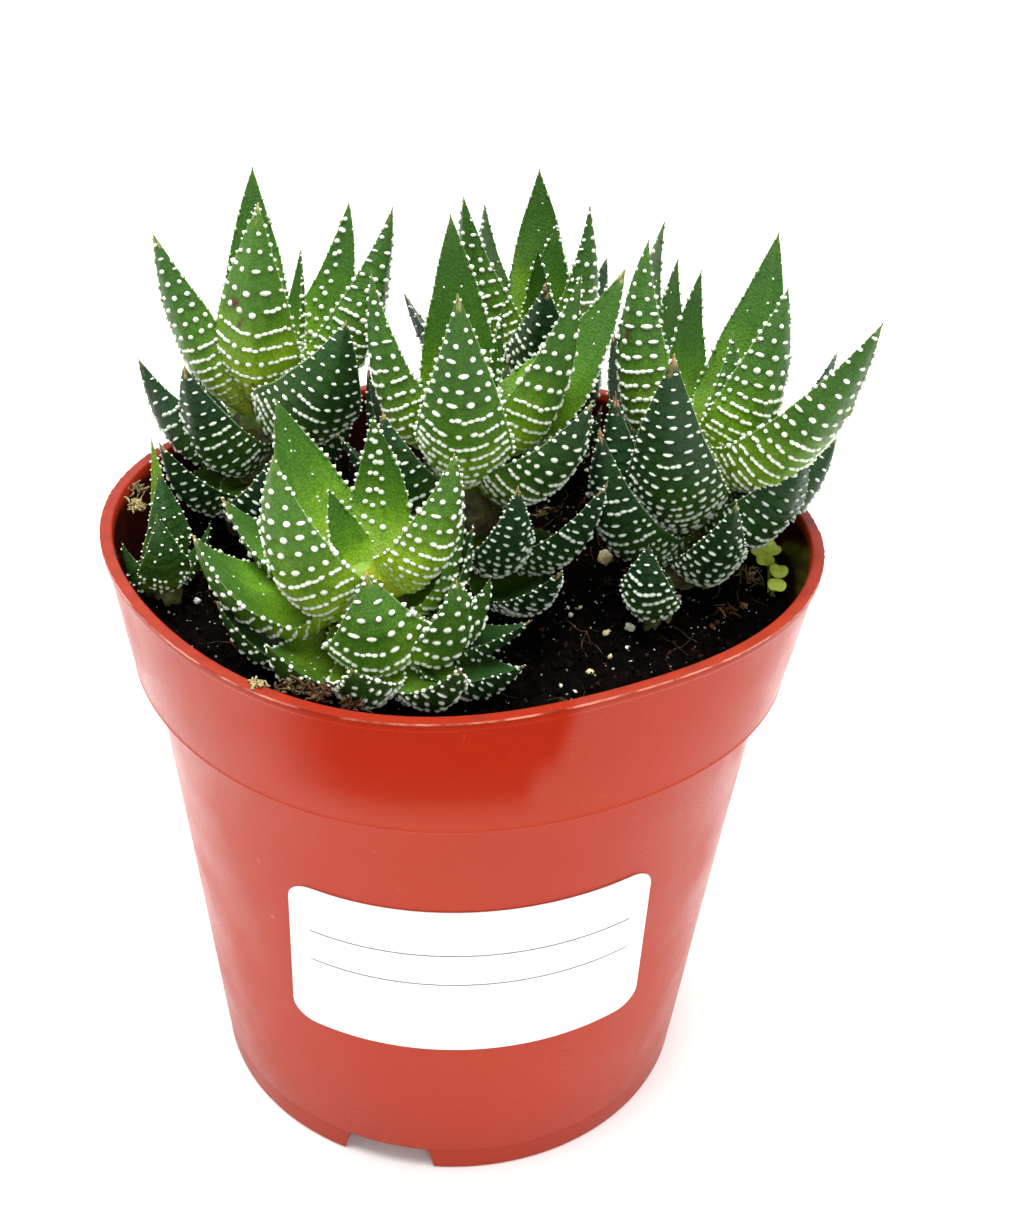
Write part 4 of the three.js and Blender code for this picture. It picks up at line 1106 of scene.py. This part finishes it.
class Leaf:
    """One leaf's form: points on its skin from u, root to tip, and v, margin to margin."""

    def __init__(self, shoot, row, rng, traits):
        height, x, y, z, self.width, bow, twist, reach, self.age, tip = row
        for name, value in traits.items():
            setattr(self, name, value)
        foot = np.array([*shoot["foot"], SOIL_LEVEL], float)
        axis = unit(np.array(shoot["top"], float) - foot)
        self.tip = np.array([x, y, z], float)
        root = foot + axis * height
        lean = self.tip - root
        lean = unit(lean - axis * (lean @ axis))
        self.root = root + lean * reach
        out = self.tip - self.root
        chord = float(np.linalg.norm(out))
        self.across = unit(np.cross(axis, lean))
        inward = unit(np.cross(out, self.across))
        self.inward = inward if inward @ axis > 0 else -inward
        self.bend = self.root + out * BEND_AT - self.inward * 2 * bow * chord
        self.twist = math.radians(twist)
        self.dry, self.red = TIPS[tip]
        self.seed = rng.uniform(0, 50)
        self.sway = rng.uniform(-SWAY, SWAY) * chord
        self.curl = math.radians(rng.uniform(-CURL, CURL))
        self.lumps = Ripple(int(rng.integers(1e6)), 1.1, 2, 8)
        self.length = chord * (1 + BOW_LENGTH * bow * bow)
        self.sheath = -(lean + axis * SHEATH_DROP) * reach
        self.size = math.sqrt(min(self.width, FULL_WIDTH) / FULL_WIDTH)
        self.old = float(smooth_step(*OLD_AGES, self.age))
        self.bands = self.band_places(rng)

    def band_places(self, rng):
        """Where the rows of studs lie, as shares of the length."""
        first, last = BANDS
        closer = blend(1.0, OLD_PITCH, self.old)
        places, distance = [], first * self.length
        while distance < self.length * last:
            places.append(distance / self.length)
            pitch = np.interp(distance / self.length, (first, 0.5, 1.0), BAND_PITCH)
            distance += pitch * self.size * self.spacing * closer * rng.uniform(0.93, 1.07)
        return np.array(places)

    def step(self, u):
        """How far the skin of the back is raised: it climbs to each row of studs."""
        after = np.searchsorted(self.bands, u - 1e-6)
        edges = np.concatenate([[0.0], self.bands, [1.0]])
        low, high = edges[after], edges[np.minimum(after + 1, len(edges) - 1)]
        share = np.clip((high - u) / np.maximum(high - low, 1e-6), 0, 1)
        rise = smooth_step(0.0, 0.18, 1 - share) * share ** 0.6
        return BAND_STEP * rise * smooth_step(0, 0.08, u) * (1 - smooth_step(0.6, 0.95, u))

    def half_width(self, u):
        before = np.maximum(WIDEST_AT - u, 0) / WIDEST_AT
        beyond = np.maximum(u - WIDEST_AT, 0) / (1 - WIDEST_AT)
        share = np.where(u < WIDEST_AT, 1 - (1 - ROOT_SHARE) * before ** 2, 1 - beyond ** TAPER)
        return np.maximum(self.width / 2 * share, TIP_HALF_WIDTH)

    def at(self, u, v, back, stepped=True):
        """Points at u and v, on the inner face where back is 0 and on the round back where 1."""
        u, v, back = np.broadcast_arrays(u, v, back)
        below = np.clip(-u, 0, 1)[..., None]
        u = np.clip(u, 0, 1)[..., None]
        centre = curve(self.root, self.bend, self.tip, u)
        centre = centre + self.sheath * below
        centre = centre + self.across * self.sway * np.sin(math.pi * u) * u
        along = unit(2 * (1 - u) * (self.bend - self.root) + 2 * u * (self.tip - self.bend))
        face = unit(np.cross(self.across, along))
        face = np.where((face @ self.inward)[..., None] < 0, -face, face)
        turn = self.twist + self.curl * u
        side = self.across * np.cos(turn) + face * np.sin(turn)
        out = self.across * np.sin(turn) - face * np.cos(turn)
        u = u[..., 0]
        half = self.half_width(u) * blend(1.0, SHEATH_SHARE, below[..., 0])
        half = half * (1 + 0.02 * self.lumps(u * 3, v * 0.7))
        depth = 2 * half * BACK_DEPTH * (1 - THINNING * u)
        rounded_v = np.minimum(np.sqrt(v * v + 0.004), 1)
        swell = depth * (1 - rounded_v ** blend(*KEEL, u))
        hollow = 2 * half * FACE_HOLLOW * (1 - u) * (1 - v * v)
        clasp = CLASP * half * (1 - smooth_step(0, 0.3, u)) * v * v
        if stepped:
            share = min(self.width / FULL_STEP_WIDTH, 1)
            swell = swell + self.step(u) * (1 - v ** 4) * share
        lift = np.where(back > 0.5, swell, hollow) - clasp
        return centre + side * (v * half)[..., None] + out * lift[..., None]

    def frame_at(self, u, v, back):
        """Point, outward normal, and how far a step in u and in v moves it."""
        near = 0.004
        here = self.at(u, v, back)
        by_u = self.at(u + near, v, back, False) - self.at(u - near, v, back, False)
        by_v = self.at(u, v + near, back, False) - self.at(u, v - near, back, False)
        by_u, by_v = by_u / (2 * near), by_v / (2 * near)
        normal = unit(np.cross(by_u, by_v))
        outwards = here - self.at(u, v * 0, 1 - back, False)
        normal = np.where((normal * outwards).sum(-1, keepdims=True) < 0, -normal, normal)
        return here, normal, np.linalg.norm(by_u, axis=-1), np.linalg.norm(by_v, axis=-1)


def add_leaf_skin(build, leaf):
    face_steps, back_steps = (10, 24) if leaf.width > WIDE_LEAF else (8, 16)
    edges = np.concatenate([[0.0], leaf.bands, [1.0]])
    steps = np.array([0.0, 0.09, 0.18, 0.45, 0.75])
    u = (edges[:-1, None] + np.diff(edges)[:, None] * steps).ravel()
    u = np.concatenate([[-1.0, -0.5], u, [0.99, 1.0]])
    face_v = np.sin(np.linspace(math.pi / 2, -math.pi / 2, face_steps + 1))[:-1]
    back_v = np.sin(np.linspace(-math.pi / 2, math.pi / 2, back_steps + 1))[:-1]
    back = np.concatenate([np.zeros(face_steps), np.ones(back_steps)])
    grid_u, grid_v = np.meshgrid(u, np.concatenate([face_v, back_v]), indexing="ij")
    rings = leaf.at(grid_u, grid_v, back)
    ends = [leaf.root + leaf.sheath, leaf.tip + unit(leaf.tip - leaf.bend) * TIP_POINT]
    inner = 1 - back
    inner[[0, face_steps]] = 0.5
    along = np.clip(np.append(grid_u, [0, 1]), 0, 1)
    across = np.append(grid_v, [0, 0])
    start = blend(0.985, 0.94, leaf.dry)
    dry = leaf.dry * smooth_step(start, 0.995, along + 0.02 * leaf.lumps(along * 20, across))
    scar = np.zeros_like(along)
    for at_u, at_v, size in leaf.scars:
        away = np.hypot(along - at_u, (across - at_v) * 0.35)
        away = away + 0.02 * leaf.lumps(along * 30, across * 9)
        scar = np.maximum(scar, 1 - smooth_step(size * 0.3, size, away))
    build.add_tubes(rings, ends, along=along * leaf.ripe, across=across, age=leaf.age,
                    bright=leaf.bright, seed=leaf.seed, dry=dry, red=leaf.red, scar=scar,
                    inner=np.append(np.tile(inner, len(u)), [0.5, 0.5]))


# A stud is a low dome: rings from its top outwards, as shares of its size, with how far each
# rises and how white it is. It ends in the middle of its top and in a point under the skin.
STUD_SIDES = 8
STUD_RINGS = np.array([0.55, 1.0])
STUD_RISE = np.array([0.78, -0.3, 1.0, -0.3])
STUD_WHITE = np.array([0.85, 0.0, 1.0, 0.0])
STUD_COUNTS = [STUD_SIDES] * len(STUD_RINGS) + [1, 1]


def add_studs(build, leaf, u, v, wide, long, rise, fade, back=1.0):
    """Low domes that follow the skin: half sizes across and along the leaf, in millimetres."""
    if not len(u):
        return
    _, _, by_u, by_v = leaf.frame_at(u, v, back)
    u, v, count = u[:, None], v[:, None], len(u)
    angle = round_angles(STUD_SIDES)
    along = (long[:, None, None] * STUD_RINGS[:, None] * np.sin(angle)).reshape(count, -1)
    across = (wide[:, None, None] * STUD_RINGS[:, None] * np.cos(angle)).reshape(count, -1)
    around_u = u + along / by_u[:, None]
    around_v = np.clip(v + across / by_v[:, None], -0.985, 0.985)
    here, normal, _, _ = leaf.frame_at(np.concatenate([around_u, u, u], 1),
                                       np.concatenate([around_v, v, v], 1), back)
    lift = np.repeat(STUD_RISE, STUD_COUNTS)
    points = here + normal * (rise[:, None] * lift)[..., None]
    build.add_tubes(points[:, :-2].reshape(count, len(STUD_RINGS), STUD_SIDES, 3), points[:, -2:],
                    core=np.tile(np.repeat(STUD_WHITE, STUD_COUNTS), count),
                    fade=np.repeat(fade, len(lift)), age=leaf.age)


def stud_row(leaf, share, rng):
    """Places across one row, from -1 to 1, each with its half sizes across and along."""
    arc = float(leaf.half_width(share)) * ARC
    most, first, last = YOUNG_BEADS if leaf.old < 0.5 else OLD_BEADS
    beaded = most * (1 - smooth_step(first, last, share)) * blend(1.0, 0.6, leaf.bright)
    sparse = smooth_step(0.35, 0.7, share)
    small = blend(1.0, 0.8, leaf.old) * leaf.size
    place, row = ROW[0] * arc + rng.uniform(0, 0.8), []
    while place < ROW[1] * arc:
        if leaf.old > 0.5 and rng.uniform() < DASHES:
            across = DASH[0] * leaf.size * rng.uniform(0.6, 1.25)
            row.append((place, across, DASH[1] * rng.uniform(0.85, 1.15)))
            place += across * DASH_PITCH + rng.uniform(*DASH_GAP) * blend(1.0, 2.0, sparse)
        elif rng.uniform() < beaded:
            for _ in range(int(rng.integers(*CHAIN))):
                across = BEAD[0] * rng.uniform(0.85, 1.2) * blend(0.85, 1, leaf.size)
                row.append((place, across, BEAD[1] * rng.uniform(0.85, 1.15)))
                place += across * BEAD_PITCH
            place += rng.uniform(*CHAIN_GAP)
        else:
            long = rng.uniform() < blend(*LONG_DOTS, leaf.old)
            wider, shorter = LONG_DOT if long else (1, 1)
            across = DOT[0] * small * rng.uniform(0.75, 1.15) * wider
            row.append((place, across, DOT[1] * small * rng.uniform(0.8, 1.1) * shorter))
            place += across + blend(1.0, 1.5, sparse) * leaf.size * rng.uniform(*DOT_GAP)
    return [(x / arc, across * leaf.fine, along * leaf.fine) for x, across, along in row
            if abs(x) < 0.97 * arc and (leaf.fine == 1 or rng.uniform() < SPARSE_SHARE)]


def stud_rows(leaf, rng):
    """Where the studs of a leaf's back stand: u, v, half width, half length, rise and fade."""
    gaps = np.diff(np.append(leaf.bands, 1.0))
    studs = []
    for share, gap in zip(leaf.bands, gaps):
        rooted = 1 - smooth_step(0.05, blend(0.27, 0.2, leaf.old), share)
        bend = rng.normal(0, 0.12)
        edge = 1 - 0.35 * smooth_step(0.6, 0.95, share)
        for place, across, along in stud_row(leaf, share, rng):
            v = math.sin(place * 1.35)
            wave = bend * v * v + rng.normal(0, 0.05)
            less = edge * (1 - 0.4 * abs(v) ** 6)
            rise = STUD_HEIGHT * rng.uniform(0.85, 1.15) * blend(1, 0.45, rooted) * edge
            fade = np.clip(rooted + rng.normal(0, 0.05), 0, 1)
            studs.append((share + (0.13 + wave) * gap, v * 0.97, across * less, along * less,
                          rise, fade))
    return np.array(studs).T


# A tooth's rings, each with how far out it stands, how thick it is and how white.
TOOTH_SIDES = 6
TOOTH_RINGS = ((-0.2, 0.30, 0.0), (0.1, 0.27, 0.45), (0.28, 0.16, 0.9))


def add_teeth(build, leaf, rng):
    """Small pale teeth along both margins."""
    count = int(leaf.length * 0.9 / TOOTH_PITCH)
    angle = round_angles(TOOTH_SIDES)[None, :, None]
    whites = np.append(np.repeat([white for _, _, white in TOOTH_RINGS], TOOTH_SIDES), [0, 1])
    for edge in (-1.0, 1.0):
        u = np.linspace(0.07, 0.97, count) + rng.normal(0, 0.3 / leaf.length, count)
        size = np.clip(rng.normal(1.0, 0.3, count), 0.35, 1.6)
        size = size * blend(0.75, 1.0, min(leaf.width / FULL_TOOTH_WIDTH, 1)) * leaf.fine
        size = size * blend(1.0, 0.62, leaf.old) * blend(0.55, 1.0, smooth_step(0.05, 0.3, u))
        size = (size * blend(1.0, 0.6, smooth_step(0.85, 1, u)))[:, None]
        here = leaf.at(u, edge, 1.0)
        ahead = unit(leaf.at(u + 0.01, edge, 1.0) - here)
        aside = unit(here - leaf.at(u, edge * 0.9, 0.0))
        point = unit(aside + 0.4 * ahead)
        third = unit(np.cross(point, ahead))
        second = np.cross(third, point)
        circle = second[:, None] * np.cos(angle) * 1.15 + third[:, None] * np.sin(angle)
        rings = [(here + point * out * size)[:, None] + circle * thick * size[:, None]
                 for out, thick, _ in TOOTH_RINGS]
        ends = [here - point * 0.3 * size, here + point * TOOTH_LENGTH * size]
        fade = 0.5 * (1 - smooth_step(0.05, 0.3, u))
        build.add_tubes(np.stack(rings, 1), np.stack(ends, 1), core=np.tile(whites, count),
                        fade=np.repeat(fade, len(whites)), age=leaf.age)


def add_face_studs(build, leaf, rng):
    """A few small studs on the smooth inner face, or columns of full ones."""
    step = BAND_PITCH[1] / leaf.length
    for column in leaf.columns:
        u = np.arange(0.2 + rng.uniform(0, step), 0.93, step)
        u = u + rng.normal(0, 0.15 * step, len(u))
        v = column * (1 - 0.3 * u) + rng.normal(0, 0.04, len(u))
        wide = DOT[0] * 0.8 * rng.uniform(0.8, 1.1, len(u))
        add_studs(build, leaf, u, v, wide, wide * 0.85, STUD_HEIGHT + 0 * u, 0 * u, 0.0)
    if leaf.columns or leaf.age >= 0.5 or leaf.width <= WIDE_LEAF:
        return
    count = int(rng.integers(3, 9))
    u, v = rng.uniform(0.25, 0.85, count), rng.normal(0, 0.35, count)
    small = 0.2 * rng.uniform(0.7, 1.3, count)
    add_studs(build, leaf, u, np.clip(v, -0.8, 0.8), small, small, small * 0.5, 0.3 + 0 * u, 0.0)


# A stem's rings: shares of its height, from just under the soil, and of its thickness.
STEM_RINGS = ((-0.15, 1.0), (0.08, 1.0), (0.3, 0.97), (0.6, 0.9), (0.85, 0.65), (0.95, 0.3))
STEM_SIDES = 20
STEM_ROOT = 3                       # millimetres under the soil


def add_stem(build, shoot):
    foot = np.array([*shoot["foot"], SOIL_LEVEL], float)
    top = np.array(shoot["top"], float)
    angle = round_angles(STEM_SIDES)
    rings = []
    for share, thick in STEM_RINGS:
        centre = blend(foot, top, share) if share > 0 else foot - (0, 0, STEM_ROOT)
        lump = 1 + 0.06 * np.sin(angle * 3 + share * 9) + 0.04 * np.sin(angle * 7 - share * 20)
        rings.append(centre + around(shoot["stem"] * thick * lump, angle, 0))
    green = [smooth_step(0.5, 0.85, share) for share, _ in STEM_RINGS]
    build.add_tubes(rings, [rings[0].mean(0), rings[-1].mean(0)], 1,
                    along=np.append(np.repeat(green, STEM_SIDES), [0, 1]))


def add_shoots():
    leaf_and_stem, stud = [leaf_skin(), stem_skin()], stud_skin()
    for number, (name, shoot) in enumerate(SHOOTS.items()):
        rng = np.random.default_rng(1000 + number)
        skin, studs = Build(), Build()
        add_stem(skin, shoot)
        for place, row in enumerate(shoot["leaves"]):
            traits = {**PLAIN_LEAF, **TRAITS.get(name, {}), **TRAITS.get((name, place), {})}
            leaf = Leaf(shoot, row, rng, traits)
            add_leaf_skin(skin, leaf)
            add_studs(studs, leaf, *stud_rows(leaf, rng))
            add_teeth(studs, leaf, rng)
            add_face_studs(studs, leaf, rng)
        add_piece(name + "_leaves", skin, leaf_and_stem, name)
        add_piece(name + "_studs", studs, [stud])


# ---- Seedlings ----

# A leaflet's rings, from the middle of its underside (-1) over its edge (0) to its face (1).
LEAFLET_RINGS = ((0.25, -1), (0.6, -1), (0.92, -1), (1.0, 0), (0.92, 1), (0.6, 1), (0.25, 1))


def leaflet_rings(head, turn):
    """A round leaflet with a notch in its far edge and a fold along its middle."""
    tilt, size = math.radians(CLOVER["tilt"]), CLOVER["leaflet"]
    up = np.array([0, -math.sin(tilt), math.cos(tilt)])
    ahead = np.array([math.cos(turn), math.sin(turn), 0])
    ahead = unit(ahead - up * (ahead @ up))
    beside = np.cross(up, ahead)
    angle = round_angles(28)
    off_notch = np.angle(np.exp(1j * angle))
    notch = 1 - 0.3 * np.exp(-(off_notch / 0.4) ** 2)
    rings = []
    for share, side in LEAFLET_RINGS:
        reach = size * 0.5 * share * notch
        x = size * 0.52 + reach * np.cos(angle) * 1.05
        y = reach * np.sin(angle) * 1.12
        z = 0.18 * np.abs(y) + 0.12 * x - 0.03 * x * x + side * CLOVER["thick"] / 2
        rings.append(head + x[:, None] * ahead + y[:, None] * beside + z[:, None] * up)
    return rings


def add_clover():
    build = Build()
    foot = np.array([*CLOVER["foot"], SOIL_LEVEL - CLOVER["rooted"]], float)
    steps = np.linspace(0, 1, 10)[:, None]
    for head, directions in CLOVER["heads"]:
        knee = (foot + head) / 2 + (0.8, 0, 0.6)
        stalk = curve(foot, knee, np.array(head) - (0, 0, 0.1), steps)
        add_thread(build, stalk, CLOVER["stalk"], 8)
        for turn in directions:
            rings = leaflet_rings(head, math.radians(turn))
            build.add_tubes(rings, [rings[0].mean(0), rings[-1].mean(0)])
    leaf = mottled("seedling_leaf", 900, 3, ((0.34, 0.47, 0.03), (0.55, 0.66, 0.06)),
                   (0.4, 0.6), 0.0001)
    add_piece("clover_leaflets", build, [leaf], "clover_seedlings")


# ---- Light and floor ----

FLOOR_HALF = 3000
FLOOR_DROP = 0.02

# Round lights: place and target in metres, diameter, and power in watts.
LIGHTS = {"key": ((-0.05, -0.02, 0.85), (0, 0, 0.08), 0.7, 13.0),
          "fill": ((0.1, -0.6, 0.45), (0, 0, 0.1), 0.3, 1.6)}

# The studio's brightness, from the far side to the camera's side.
CAMERA_SIDE = (0.0, -0.9, 0.43)
STUDIO = {"From Min": 0.25, "From Max": 0.9, "To Min": 1.15, "To Max": 0.25}


def add_floor():
    axis = np.linspace(-FLOOR_HALF, FLOOR_HALF, 24)
    x, y = np.meshgrid(axis, axis, indexing="ij")
    build = Build()
    build.add(np.stack([x, y, 0 * x - FLOOR_DROP], -1), grid_faces(*x.shape, False))
    floor = link("floor", build.mesh("floor"))
    floor.data.materials.append(mottled("floor", 9, 3, ((0.90, 0.895, 0.88), (0.93, 0.925, 0.915)),
                                        (0.5, 0.62), 0.0001, 0.1))


def add_area_light(name, place, target, size, power):
    data = bpy.data.lights.new(name, "AREA")
    data.shape, data.size, data.energy = "DISK", size, power
    light = link(name, data)
    light.location = place
    aim = Vector(target) - Vector(place)
    light.rotation_euler = aim.to_track_quat("-Z", "Y").to_euler()


def add_world():
    """A bright studio that is darker on the camera's side, as where the photographer stands."""
    world = bpy.data.worlds.new("studio")
    world.use_nodes = True
    tree = world.node_tree
    background = tree.nodes["Background"]
    direction = tree.nodes.new("ShaderNodeTexCoord").outputs["Generated"]
    dot = tree.nodes.new("ShaderNodeVectorMath")
    dot.operation = "DOT_PRODUCT"
    tree.links.new(direction, dot.inputs[0])
    dot.inputs[1].default_value = CAMERA_SIDE
    span = tree.nodes.new("ShaderNodeMapRange")
    span.interpolation_type = "SMOOTHSTEP"
    tree.links.new(dot.outputs["Value"], span.inputs["Value"])
    for key, value in STUDIO.items():
        span.inputs[key].default_value = value
    tree.links.new(span.outputs[0], background.inputs["Strength"])
    background.inputs["Color"].default_value = (1, 1, 1, 1)
    bpy.context.scene.world = world


def add_light():
    add_world()
    for name, (place, target, size, power) in LIGHTS.items():
        add_area_light(name, place, target, size, power)
    view = bpy.context.scene.view_settings
    view.view_transform = "Standard"
    view.look = "None"


add_pot()
add_label()
add_ruled_lines()
add_soil()
add_soil_bits()
add_debris()
add_shoots()
add_clover()
add_floor()
add_light()

bpy.context.view_layer.update()
